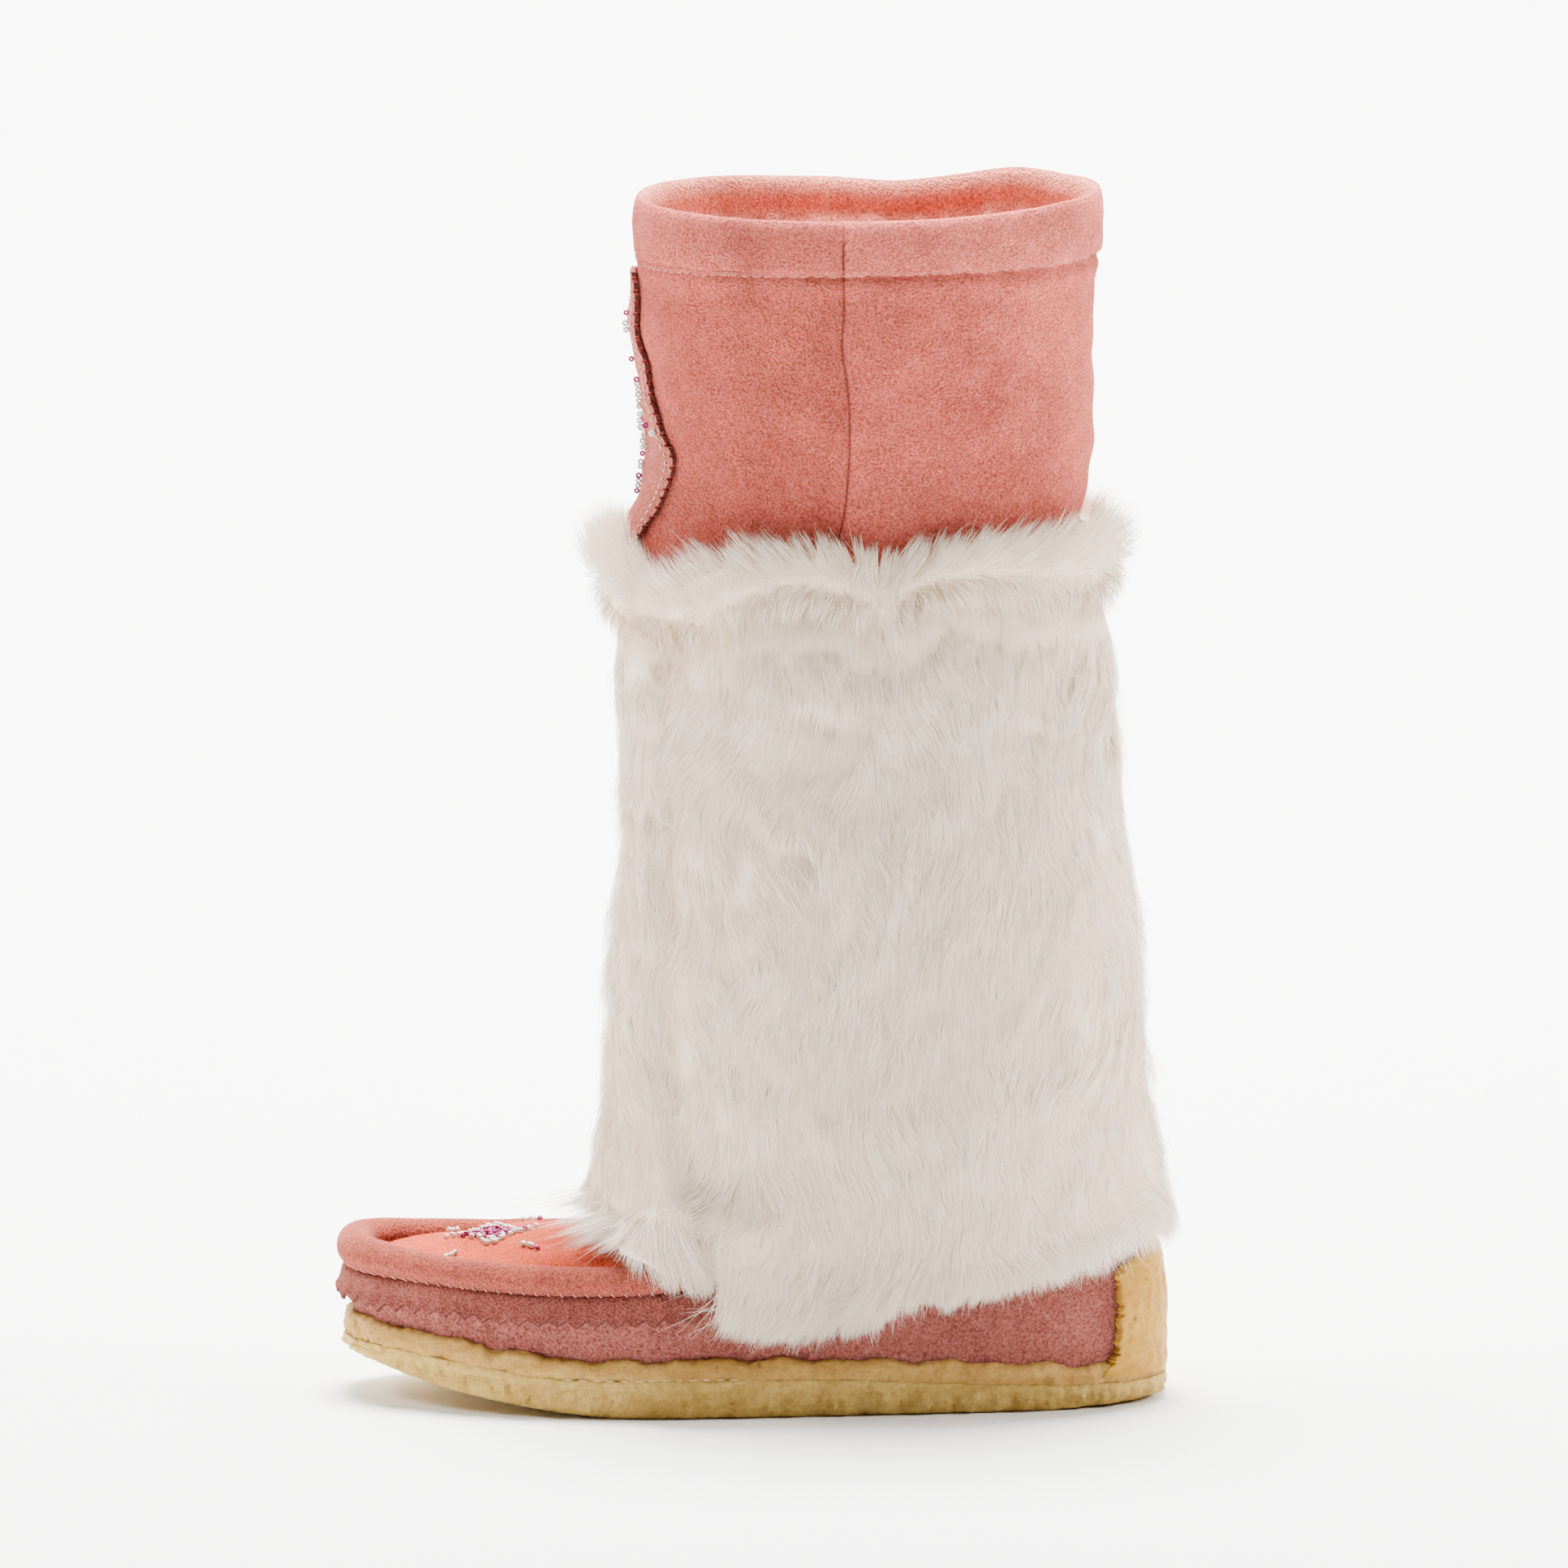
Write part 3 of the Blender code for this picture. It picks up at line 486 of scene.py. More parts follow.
# %% Material helpers
def new_material(name, values):
    """Principled material; the values are set on the shader's own inputs."""
    material = bpy.data.materials.new(name)
    material.use_nodes = True
    tree = material.node_tree
    shader = tree.nodes["Principled BSDF"]
    for socket, value in values.items():
        shader.inputs[socket].default_value = value
    return material, tree, shader


def add_node(tree, kind, values=None):
    """Node whose inputs are linked where the value is an output, and set where it is a number."""
    node = tree.nodes.new("ShaderNode" + kind)
    for key, value in (values or {}).items():
        socket = node.inputs[key]
        if isinstance(value, bpy.types.NodeSocket):
            tree.links.new(value, socket)
        else:
            socket.default_value = (*value, 1) if socket.type == "RGBA" else value
    return node


def noise_node(tree, scale, detail=3.0, roughness=0.6, distortion=0.0, stretch=None):
    """Noise in object coordinates, scale counted per metre."""
    source = add_node(tree, "TexCoord").outputs["Object"]
    if stretch:
        source = add_node(tree, "Mapping", {"Vector": source, "Scale": stretch}).outputs["Vector"]
    return add_node(tree, "TexNoise", {"Vector": source, "Scale": scale, "Detail": detail,
                                       "Roughness": roughness, "Distortion": distortion}).outputs["Fac"]


def attribute(tree, name):
    """The named number that a mesh carries on its points."""
    node = add_node(tree, "Attribute")
    node.attribute_name = name
    return node.outputs["Fac"]


def ramp(tree, source, low, high, start=0.35, end=0.65):
    """Two-colour ramp from a value."""
    node = add_node(tree, "ValToRGB", {"Fac": source})
    for element, place, color in zip(node.color_ramp.elements, (start, end), (low, high)):
        element.position = place
        element.color = (*color, 1)
    return node.outputs["Color"]


def mixed(tree, a, b, factor, blend="MIX"):
    """Colour mix; each of the three is a value or an output."""
    node = add_node(tree, "Mix", {0: factor, 6: a, 7: b})
    node.data_type = "RGBA"
    node.blend_type = blend
    return node.outputs[2]


def scaled(tree, color, factors, amount=1.0):
    """The colour times the factors, as far as the amount says."""
    times = mixed(tree, color, factors, 1.0, "MULTIPLY")
    return times if amount == 1.0 else mixed(tree, color, times, amount)


def bumped(tree, shader, layers):
    """Chain of bumps; each layer is a height output, its strength and its depth in metres."""
    below = {}
    for height, strength, depth in layers:
        node = add_node(tree, "Bump", {"Height": height, "Strength": strength, "Distance": depth, **below})
        below = {"Normal": node.outputs["Normal"]}
    tree.links.new(below["Normal"], shader.inputs["Normal"])


GRAIN_LIGHT = (1.30, 1.34, 1.36)


def suede(name, base, dark, pale):
    """Nap: patches, clumps and grain in colour, clumps and grain in bump, a little sheen."""
    material, tree, shader = new_material(name, {
        "Roughness": 1.0, "Specular IOR Level": 0.03, "Sheen Weight": 0.10, "Sheen Roughness": 0.5,
        "Sheen Tint": (1.0, 0.62, 0.52, 1)})
    patches = noise_node(tree, 21.0, 2.0, 0.5, 0.8, (1, 1, 0.6))
    clumps = noise_node(tree, 190.0, 4.0, 0.7)
    nap = noise_node(tree, 1250.0, 2.0, 0.55)
    color = ramp(tree, patches, dark, base, 0.36, 0.60)
    color = mixed(tree, color, pale, ramp(tree, clumps, (0, 0, 0), (0.3, 0.3, 0.3), 0.46, 0.72))
    color = scaled(tree, color, ramp(tree, nap, (0.56, 0.52, 0.50), GRAIN_LIGHT, 0.30, 0.70))
    tree.links.new(color, shader.inputs["Base Color"])
    bumped(tree, shader, [(clumps, 0.35, 0.0004), (nap, 1.0, 0.0012)])
    return material, tree, shader, color


# %% Suedes
CASING_FOOT = BOOT_HEIGHT - CASING_HEIGHT
CASING_BLEND = 0.004
ROSE_TOP, SALMON_FOOT = 0.0540, 0.0570
SALMON = (0.49, 0.094, 0.068), (0.355, 0.066, 0.048), (0.58, 0.142, 0.108)
ROSE, ROSE_DARK, ROSE_PALE = (0.30, 0.086, 0.068), (0.22, 0.060, 0.048), (0.38, 0.13, 0.105)
apron_suede = suede("apron_suede", (0.47, 0.062, 0.025), (0.37, 0.042, 0.017), (0.53, 0.095, 0.045))[0]
cut_edge = suede("cut_leather_edge", (0.12, 0.029, 0.023), (0.085, 0.020, 0.016), (0.17, 0.05, 0.04))[0]


def upper_suede():
    """Rose suede on the foot's wall, salmon above, paler at the casing, with painted light behind the side
    seams and on the inner wall.
    """
    material, tree, shader, salmon = suede("upper_suede", *SALMON)
    height = add_node(tree, "SeparateXYZ", {0: add_node(tree, "TexCoord").outputs["Object"]}).outputs["Z"]

    def rising(low, high):
        """0 below the lower height, 1 above the upper one."""
        node = add_node(tree, "MapRange", {"Value": height, "From Min": low, "From Max": high})
        return node.outputs["Result"]

    # painted light: the back panel behind the side seams is made paler, as side light falls there, and the
    # inner wall, marked with minus one, much paler, as light falls in over the rim
    behind = attribute(tree, "behind")
    inside = add_node(tree, "Math", {0: behind, 1: -1.0})
    inside.operation = "MULTIPLY"
    at_casing = rising(CASING_FOOT - CASING_BLEND, CASING_FOOT + CASING_BLEND)
    salmon = scaled(tree, salmon, (1.12, 1.24, 1.28), at_casing)
    salmon = scaled(tree, salmon, (1.28, 1.34, 1.36), behind)
    salmon = scaled(tree, salmon, (1.75, 2.7, 2.6), inside.outputs[0])
    rose = ramp(tree, noise_node(tree, 30.0, 2.0), ROSE_DARK, ROSE, 0.3, 0.62)
    clumps = ramp(tree, noise_node(tree, 240.0, 4.0), (0, 0, 0), (0.4, 0.4, 0.4), 0.5, 0.7)
    rose = mixed(tree, rose, ROSE_PALE, clumps)
    nap = noise_node(tree, 1050.0, 2.0, 0.55)
    rose = scaled(tree, rose, ramp(tree, nap, (0.52, 0.48, 0.46), GRAIN_LIGHT, 0.30, 0.70))
    color = mixed(tree, rose, salmon, rising(ROSE_TOP, SALMON_FOOT))
    color = mixed(tree, color, (0.12, 0.025, 0.02), attribute(tree, "seam"))
    tree.links.new(color, shader.inputs["Base Color"])
    return material


boot_suede = upper_suede()
print("suedes made:", apron_suede.name, cut_edge.name, boot_suede.name)

# %% [markdown]
# Crepe rubber is pressed from coagulated latex. It is amber where it is thick, cream where light
# comes through, and its cut side is full of soft crumbs. Subsurface light gives the glow, and two
# sizes of noise give the crumbs, while the larger lumps of the edge are in the mesh.

# %% Crepe rubber
def crepe_rubber(name, deep, pale, crumb=0.0009):
    """Amber mixed with cream by two noises, dark specks, crumb bumps, some light through it."""
    material, tree, shader = new_material(name, {
        "Roughness": 0.6, "Specular IOR Level": 0.15, "Subsurface Weight": 0.20,
        "Subsurface Radius": (1.0, 0.6, 0.2), "Subsurface Scale": 0.003})
    crumbs = noise_node(tree, 430.0, 5.0, 0.65, 0.3)
    veins = noise_node(tree, 75.0, 4.0, 0.6, 1.2, (0.45, 0.45, 1.6))
    specks = noise_node(tree, 260.0, 1.0, 0.5)
    color = ramp(tree, veins, deep, pale, 0.34, 0.66)
    color = mixed(tree, color, ramp(tree, crumbs, (0.84, 0.80, 0.70), (1.08, 1.08, 1.08), 0.36, 0.60), 0.9,
                  "MULTIPLY")
    color = mixed(tree, color, (0.10, 0.04, 0.01), ramp(tree, specks, (0, 0, 0), (0.5, 0.5, 0.5), 0.71, 0.76))
    tree.links.new(color, shader.inputs["Base Color"])
    bumped(tree, shader, [(veins, 0.4, 0.0010), (crumbs, 0.9, crumb)])
    return material


crepe_lower = crepe_rubber("crepe_lower", (0.42, 0.265, 0.062), (0.52, 0.345, 0.095))
crepe_band = crepe_rubber("crepe_band", (0.37, 0.20, 0.045), (0.47, 0.275, 0.075))
crepe_heel = crepe_rubber("crepe_heel", (0.40, 0.20, 0.022), (0.47, 0.255, 0.035), 0.0005)
print("crepe made:", crepe_lower.name, crepe_band.name, crepe_heel.name)

# %% Beads, thread and lining
def glossy(name, color, roughness, coat=0.0):
    """Smooth bead or thread: one colour with a faint speckle, and a clear coat on beads."""
    material, tree, shader = new_material(name, {
        "Roughness": roughness, "Specular IOR Level": 0.35, "Coat Weight": coat})
    dim = tuple(0.86 * c for c in color)
    tree.links.new(ramp(tree, noise_node(tree, 900.0, 2.0), dim, color), shader.inputs["Base Color"])
    return material


bead_white = glossy("bead_white", (0.80, 0.72, 0.66), 0.25, coat=0.4)
bead_magenta = glossy("bead_magenta", (0.30, 0.002, 0.10), 0.35)
bead_clear = glossy("bead_clear", (0.80, 0.80, 0.82), 0.10, coat=0.8)
thread_pale = glossy("thread_pale", (0.80, 0.56, 0.44), 0.7)
thread_casing = glossy("thread_casing", (0.66, 0.33, 0.25), 0.8)
thread_rose = glossy("thread_rose", (0.62, 0.24, 0.17), 0.8)
felt = suede("insole_felt", (0.62, 0.50, 0.40), (0.50, 0.39, 0.30), (0.72, 0.62, 0.52))[0]
print("beads, thread and felt made")

# %% [markdown]
# The upper is cut from soft suede and turned over at the collar into a casing, about 19 mm deep,
# that holds a drawstring. Its stitch line pulls the suede into a shallow groove with small
# puckers, and the wall inside stands in soft vertical gathers. A butted seam runs up each side.
# The shape comes from the rings above, moved along its own normal by these listed hollows
# and ridges, so that each can be set by its height and its angle.

# %% Folds of the shaft, placed one by one
SEAM_ANGLES = (1.49, -1.49)
SEAM_RADIUS = 0.070
SHAFT_FOLDS = [
    # angle, height, half_turn, half_height, slant, depth; a negative depth is a hollow
    (0.55, 0.352, 0.55, 0.010, 0.006, -0.0010),
    (1.05, 0.338, 0.50, 0.009, -0.010, 0.0009),
    (2.20, 0.346, 0.60, 0.012, 0.012, -0.0011),
    (2.75, 0.322, 0.50, 0.010, -0.006, 0.0010),
    (1.75, 0.312, 0.55, 0.010, 0.008, -0.0009),
    (0.90, 0.302, 0.40, 0.009, -0.006, -0.0008),
    (-0.70, 0.348, 0.60, 0.011, 0.010, -0.0010),
    (-1.60, 0.330, 0.60, 0.012, -0.008, 0.0010),
    (-2.40, 0.342, 0.50, 0.012, 0.008, -0.0011),
]
FOOT_FOLDS = [
    # angle, height, half_turn, half_height, slant, depth
    (0.62, 0.030, 0.020, 0.010, 0.0, -0.0009),
    (0.36, 0.027, 0.050, 0.008, 0.002, 0.0006),
    (-0.50, 0.028, 0.040, 0.009, 0.002, -0.0007),
    (1.00, 0.026, 0.060, 0.008, -0.002, -0.0006),
]


def folds_depth(theta, height, folds):
    """Sum of slanted bell-shaped hollows and ridges."""
    total = np.zeros(theta.shape)
    for angle, level, half_turn, half_height, slant, depth in folds:
        off = wrapped(theta - angle)
        total += depth * bump(off, half_turn) * bump(height - level - slant * off / half_turn, half_height)
    return total


def leather_depth(theta, points):
    """Folds, the casing's groove and puckers, the side seams, and slow hand-made waves."""
    height = points[..., 2]
    total = folds_depth(theta, height, SHAFT_FOLDS) + folds_depth(theta, height, FOOT_FOLDS)
    gathers = np.sin(31 * theta + 1.5 * np.sin(3 * theta)) + 0.5 * np.sin(53 * theta + 2)
    from_stitch = height - CASING_FOOT - 0.0005
    total += 0.0009 * bump(from_stitch + 0.0035, 0.0035) - 0.0006 * bump(from_stitch, 0.0011)
    total += 0.00032 * gathers * bump(from_stitch, 0.006)
    for angle in SEAM_ANGLES:
        off = (theta - angle) * np.sign(angle) * SEAM_RADIUS
        above = ease((height - 0.2) / 0.05)
        total -= 0.0007 * bump(off, 0.0005) * above
        total += (0.0004 * bump(off + 0.0022, 0.0014) - 0.0003 * bump(off - 0.0015, 0.0010)) * above
    slow = waves(points, 0.055, 21)
    fine = waves(points, 0.013, 22)
    loose = ease((height - 0.05) / 0.05)
    return total + (0.0006 * slow + 0.00016 * fine) * loose + 0.00012 * fine


def seam_mark(theta, height):
    """1 in the dark line of a side seam."""
    line = np.zeros(theta.shape)
    for angle in SEAM_ANGLES:
        off = (theta - angle) * SEAM_RADIUS
        holes = np.sin(height * TURN / 0.0036) ** 8 * ease((height - CASING_FOOT + 0.004) / 0.002)
        line += bump(off, 0.00035) + 0.6 * holes * bump(off, 0.0008)
    return np.clip(0.75 * line, 0, 1) * ease((height - 0.2) / 0.05)


def rim_wave(points):
    """The collar's far side rises behind and dips in the middle, as soft suede does."""
    far = np.clip(points[..., 1] / 0.03, 0, 1) * ease((points[..., 2] - CASING_FOOT) / 0.012)
    x = points[..., 0]
    rise = 0.0022 * bump(x - 0.086, 0.014) - 0.0020 * bump(x - 0.046, 0.016) + 0.0010 * bump(x + 0.012, 0.02)
    return lifted(points[..., :2], points[..., 2] + far * rise)


def make_upper():
    """Outer skin, rolled rim and gathered inner wall as one closed stack of rings."""
    near_seam = np.array([-6.0, -3.2, -1.9, -1.2, -0.8, -0.45, 0, 0.45, 0.8, 1.2, 1.9, 3.2])
    near_seam = near_seam * 0.001 / SEAM_RADIUS
    seam_columns = np.concatenate([angle + near_seam for angle in SEAM_ANGLES])
    theta = np.sort(np.concatenate([round_angles(250) - math.pi, seam_columns]))
    levels = np.concatenate([
        np.linspace(0, 3, 20, endpoint=False), np.linspace(3, 5, 6, endpoint=False),
        np.linspace(5, 13, 14, endpoint=False), np.linspace(13, 18, 10, endpoint=False),
        np.linspace(18, 25, 66, endpoint=False), np.linspace(25, 28, 26),
    ])
    across, up = np.meshgrid(theta, levels)
    outer = upper_point(across, up)
    normal = upper_normal(across, np.clip(up, 0.25, LAST_RING - 0.8))
    outer = outer + leather_depth(across, outer)[..., None] * normal
    flat = unit(normal[-1] * (1, 1, 0))
    outer = rim_wave(outer)
    top_rise = rim_wave(upper_point(theta, np.full(theta.shape, float(LAST_RING))))[:, 2] - outer[-1, :, 2]
    rim = []
    for turn in np.linspace(0, math.pi, 9)[1:]:
        inward = (1 - math.cos(turn)) * 0.0023
        lift = math.sin(turn) * top_rise * 1.15
        rim.append(outer[-1] - inward * flat + lifted(np.zeros(theta.shape + (2,)), lift))
    gathers = np.sin(37 * theta + 2.2 * np.sin(2 * theta)) + 0.6 * np.sin(61 * theta + 1)
    inside = []
    start = rim[-1]
    for drop in np.concatenate([np.linspace(0.0016, 0.05, 26), np.linspace(0.06, 0.27, 9)]):
        level = level_at(theta, np.maximum(start[:, 2] - drop, 0.09))
        skin = upper_point(theta, level)
        out = unit(upper_normal(theta, level) * (1, 1, 0))
        fade = ease(drop / 0.006) * (1 - ease((drop - 0.040) / 0.030)) * (0.25 + 0.75 * np.cos(theta) ** 2)
        deep = WALL + 0.0012 * ease(drop / 0.02) + 0.0020 * bump(drop - 0.008, 0.006)
        deep = deep - 0.0014 * gathers * fade
        inside.append(skin - deep[:, None] * out)
    for level in (10.0, 7.0, 3.0, 1.0, 0.0):
        level = np.full(theta.shape, level)
        out = unit(upper_normal(theta, np.maximum(level, 0.4)) * (1, 1, 0 if level[0] < 2 else 1))
        inside.append(upper_point(theta, level) - WALL * out)
    stack = np.concatenate([outer, np.stack(rim), np.stack(inside)])
    piece = mesh_piece("suede_upper", stack, ring_quads(len(stack), theta.size, wrap_rows=True), boot_suede)
    marks = np.zeros(stack.shape[:2])
    marks[:len(levels)] = seam_mark(across, outer[..., 2])
    point_values(piece, "seam", marks)
    # painted light: marks the back panel behind the seams for the material to lighten, and the inner wall
    # with minus one for a stronger painted light
    behind = np.broadcast_to(ease((np.abs(theta) - abs(SEAM_ANGLES[0])) / 0.008), stack.shape[:2]).copy()
    behind[len(levels) + 4:] = -1.0
    point_values(piece, "behind", behind)
    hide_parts("upper")
    return piece


upper_piece = make_upper()
print("upper triangles", 2 * len(upper_piece.data.polygons))

# %% [markdown]
# The sole is two layers of crepe stitched together: a tray with a rounded lower edge, and a band
# round the foot set back from it. Both are cut by hand, so their sides are lumpy and crumble at
# the lower edge. The same outline is followed with a rounded profile, and the lumps are waves
# along the outline and noise in the surface.

# %% Sole
SOLE_COLUMNS = 520


def strip_caps(start, count, upward):
    """Quads and two triangles that close a ring from side to side."""
    j = np.arange(1, count // 2 - 1)
    quads = np.stack([j, j + 1, count - j - 1, count - j], -1)
    half = count // 2
    ends = np.array([[0, 1, count - 1], [half - 1, half, half + 1]])
    if not upward:
        quads, ends = quads[:, ::-1], ends[:, ::-1]
    return [quads + start, ends + start]


def outward(theta):
    """Level direction away from the boot, square to the sole's edge."""
    return lifted((outline(theta, 0.0) - outline(theta, 0.001)) / 0.001, 0.0)


def rough_side(theta, inset, height, lumps, seed):
    """Points round the sole, moved out by two sizes of lumps."""
    base = lifted(outline(theta, inset), height)
    shift = lumps * (0.6 * waves(base, 0.009, seed) + 0.6 * waves(base, 0.0032, seed + 1))
    return base + shift[:, None] * outward(theta)


def make_outsole():
    """Tray: rounded lower edge, lumpy side, rim top, inner side and floor."""
    theta = round_angles(SOLE_COLUMNS)
    floor_top, rim_top, _ = sole_heights(sole_edge(theta)[..., 0])
    ends = ease((from_toe(theta) - 0.84) / 0.16) + 0.5 * toe_weight(theta)
    tuck = 0.003 + 0.008 * ends
    rings = []
    for turn in np.linspace(0, math.pi / 2, 9):
        inset = tuck * (1 - math.sin(turn)) ** 1.3
        ground = spring(outline(theta, inset)[..., 0])
        rise = 0.66 * (1 - math.cos(turn)) ** 0.9
        lumps = 0.0011 * math.sin(turn) * (1 + 0.6 * math.cos(turn))
        rings.append(rough_side(theta, inset, ground + rise * (rim_top - ground), lumps, 31))
    for rise, inset in ((0.70, 0.0), (0.80, 0.0), (0.90, 0.0), (0.97, 0.0001), (1.0, 0.0004)):
        ground = spring(outline(theta, inset)[..., 0])
        rings.append(rough_side(theta, inset, ground + rise * (rim_top - ground), 0.0006, 31))
    rings.append(lifted(outline(theta, BAND_THICKNESS), rim_top))
    rings.append(lifted(outline(theta, BAND_THICKNESS), floor_top))
    stack = np.stack(rings)
    stack[..., 2] = np.maximum(stack[..., 2], 0.0)
    last = (len(stack) - 1) * SOLE_COLUMNS
    faces = [ring_quads(len(stack), SOLE_COLUMNS)]
    faces += strip_caps(0, SOLE_COLUMNS, False) + strip_caps(last, SOLE_COLUMNS, True)
    piece = mesh_piece("crepe_outsole", stack, faces, crepe_lower)
    piece.data.set_sharp_from_angle(angle=math.radians(55))
    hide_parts("outsole")
    return piece


def make_band():
    """Band: a rounded step, with a lumpy side and a torn-looking top edge."""
    theta = round_angles(SOLE_COLUMNS)
    _, rim_top, band_top = sole_heights(sole_edge(theta)[..., 0])
    foot = rim_top - 0.0004
    torn = 0.00035 * waves(sole_edge(theta), 0.006, 41) + 0.00035 * waves(sole_edge(theta), 0.0024, 42)
    rings = []
    for rise, inset in ((0.0, 0.0009), (0.06, 0.0005), (0.16, 0.0003), (0.32, 0.0002), (0.50, 0.0003),
                        (0.68, 0.0005), (0.84, 0.0009), (0.95, 0.0016), (1.0, 0.0026)):
        height = foot + rise * (band_top - GAP + torn - foot)
        rings.append(rough_side(theta, inset, height, 0.00055, 43))
    rings.append(lifted(outline(theta, BAND_THICKNESS), band_top - GAP))
    rings.append(lifted(outline(theta, BAND_THICKNESS), foot))
    stack = np.stack(rings)
    piece = mesh_piece("crepe_band", stack, ring_quads(len(stack), SOLE_COLUMNS, wrap_rows=True), crepe_band)
    piece.data.set_sharp_from_angle(angle=math.radians(60))
    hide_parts("foxing_band")
    return piece


def make_heel_wrap():
    """Heel piece: a torn patch up the heel that runs into the band, thick below and thin above."""
    reach = math.acos(1 - 2 * 0.945)
    share_round = np.linspace(-1, 1, 130)
    corner = 1 - 0.20 * np.abs(share_round) ** 4
    outer, inner = [], []
    for share in np.linspace(0, 1, 46):
        torn = 0.010 * waves(np.stack([share_round[[0, -1]], np.full(2, share * 2.2)], -1), 0.16, 47)
        flare = 0.10 * (1 - share) ** 6
        ends = np.interp(share_round, [-1, 1], torn * (-1, 1))
        theta = math.pi + share_round * (math.pi - reach + flare) + ends * np.abs(share_round) ** 3
        theta_near = np.where(theta > math.pi, theta - TURN, theta)
        _, _, band_top = sole_heights(sole_edge(theta)[..., 0])
        level = level_at(theta_near, band_top - 0.0040 + share * (0.0045 + 0.036 * corner))
        skin = upper_point(theta, level)
        normal = upper_normal(theta, np.maximum(level, 0.3))
        near_edge = np.clip((1 - np.abs(share_round)) / 0.03, 0, 1)
        rounded = np.sqrt(near_edge * (2 - near_edge)) * min(1.0, math.sqrt(max(1 - share, 0) / 0.06 + 0.02))
        thick = (0.0032 - 0.0010 * share ** 3 + 0.0003 * waves(skin, 0.006, 45)) * (0.25 + 0.75 * rounded)
        outer.append(skin + (FACET_GAP + thick)[:, None] * normal)
        inner.append(skin + FACET_GAP * normal)
    piece = slab_piece("heel_piece", np.stack(outer), np.stack(inner), crepe_heel)
    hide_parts("heel_wrap")
    return piece


sole_pieces = [make_outsole(), make_band(), make_heel_wrap()]
print("sole triangles", [2 * len(piece.data.polygons) for piece in sole_pieces])

# %% [markdown]
# A flat felt insole lies on the floor of the boot. It can't be seen from outside, and it is made
# as a plain slab so that a look down the shaft finds it.

# %% Insole
def make_insole():
    """Slab on the floor: two rings, closed from side to side."""
    theta = round_angles(160)
    plan = outline(theta, WALL_INSET + WALL + FACET_GAP)
    floor_top, _, _ = sole_heights(sole_edge(theta)[..., 0])
    stack = np.stack([lifted(plan, floor_top + GAP), lifted(plan, floor_top + GAP + 0.003)])
    faces = [ring_quads(2, 160)] + strip_caps(0, 160, False) + strip_caps(160, 160, True)
    piece = mesh_piece("felt_insole", stack, faces, felt)
    piece.data.set_sharp_from_angle(angle=math.radians(50))
    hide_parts("insole")
    return piece


print("insole triangles", 2 * len(make_insole().data.polygons))

# %% [markdown]
# The apron is the oval of suede over the toes. It is sewn to the foot's wall over a fat piping,
# which stands round it like a rim, with a pinked strip caught in the same seam below. The apron
# domes a little between the pipings, and its edge dips where the seam pulls it down.

# %% Apron
APRON_ROWS, APRON_COLUMNS, APRON_RING = 84, 112, 5.38


def make_apron():
    """Patch over rings 5.38 to 11 of the upper, with a dipped edge and a slight dome."""
    theta = np.linspace(-1, 1, APRON_COLUMNS) * 0.195 * TURN
    across = np.linspace(-1, 1, APRON_COLUMNS)
    outer, inner = [], []
    for ring in APRON_RING + (11 - APRON_RING) * np.linspace(0, 1, APRON_ROWS) ** 1.15:
        level = APRON_RING + (ring - APRON_RING) * (1 - 0.93 * np.abs(across) ** 4)
        skin = upper_point(theta, level)
        normal = upper_normal(theta, level)
        rise = 1 - np.exp(-(ring - APRON_RING) / 0.5)
        soft = 0.0011 * rise + 0.0005 * waves(skin, 0.028, 51) + 0.00012 * waves(skin, 0.007, 52)
        pucker = 0.00035 * np.sin(theta * 46) * np.exp(-(ring - APRON_RING) / 0.5)
        outer.append(skin + (FACET_GAP + APRON_THICKNESS + soft + pucker)[:, None] * normal)
        inner.append(skin + FACET_GAP * normal)
    outer = np.stack(outer)
    piece = slab_piece("suede_apron", outer, np.stack(inner), apron_suede)
    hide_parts("apron")
    return piece, outer


apron_piece, apron_skin = make_apron()
print("apron triangles", 2 * len(apron_piece.data.polygons))

# %% [markdown]
# The piping is suede folded round a cord. It is whipped down along its lower edge with short
# stitches, and each stitch pinches the roll a little, so that the edge looks scalloped.

# %% Piping round the toe
ROLL_REACH = 0.230 * TURN
STITCH_PITCH = 0.0042


def roll_frame(theta):
    """Centre line of the piping, with its side and upward directions."""
    centre = lifted(outline(theta, roll_inset(theta)), roll_height(theta))
    along = unit(np.gradient(centre, axis=0))
    side = unit(np.cross(along, (0.0, 0.0, 1.0)))
    return centre, along, side, np.cross(side, along)


def even_angles(inset, reach, pitch, steps):
    """Angles at even distances along the outline, so many steps to each pitch."""
    fine = np.linspace(-reach, reach, 900)
    plan = outline(fine, inset)
    length = np.concatenate([[0.0], np.cumsum(np.linalg.norm(np.diff(plan, axis=0), axis=1))])
    count = round(length[-1] / pitch)
    return np.interp(np.linspace(0, length[-1], count * steps + 1), length, fine), count


def make_roll():
    """Tube with a scalloped lower outer side and rounded, narrowed ends."""
    theta, stitches = even_angles(0.004, ROLL_REACH, STITCH_PITCH, 6)
    across = theta / ROLL_REACH
    centre, _, side, upward = roll_frame(theta)
    radius = roll_radius(theta) * (1 - 0.45 * np.abs(across) ** 24)
    radius = radius + 0.00010 * waves(centre, 0.02, 61)
    pinch = np.abs(np.sin(np.arange(theta.size) * math.pi / 6))
    rings = []
    for turn in round_angles(24):
        low = bump(wrapped(turn - 1.05), 0.5)
        size = (radius - 0.0007 * (1 - pinch) * low)[:, None]
        rings.append(centre + size * (math.cos(turn) * side - math.sin(turn) * upward))
    tube = np.stack(rings, axis=1)
    last = (len(tube) - 1) * 24
    faces = [ring_quads(len(tube), 24)[:, ::-1]] + strip_caps(0, 24, True) + strip_caps(last, 24, False)
    piece = mesh_piece("piping", tube, faces, roll_suede)
    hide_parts("vamp_roll")
    return piece, stitches


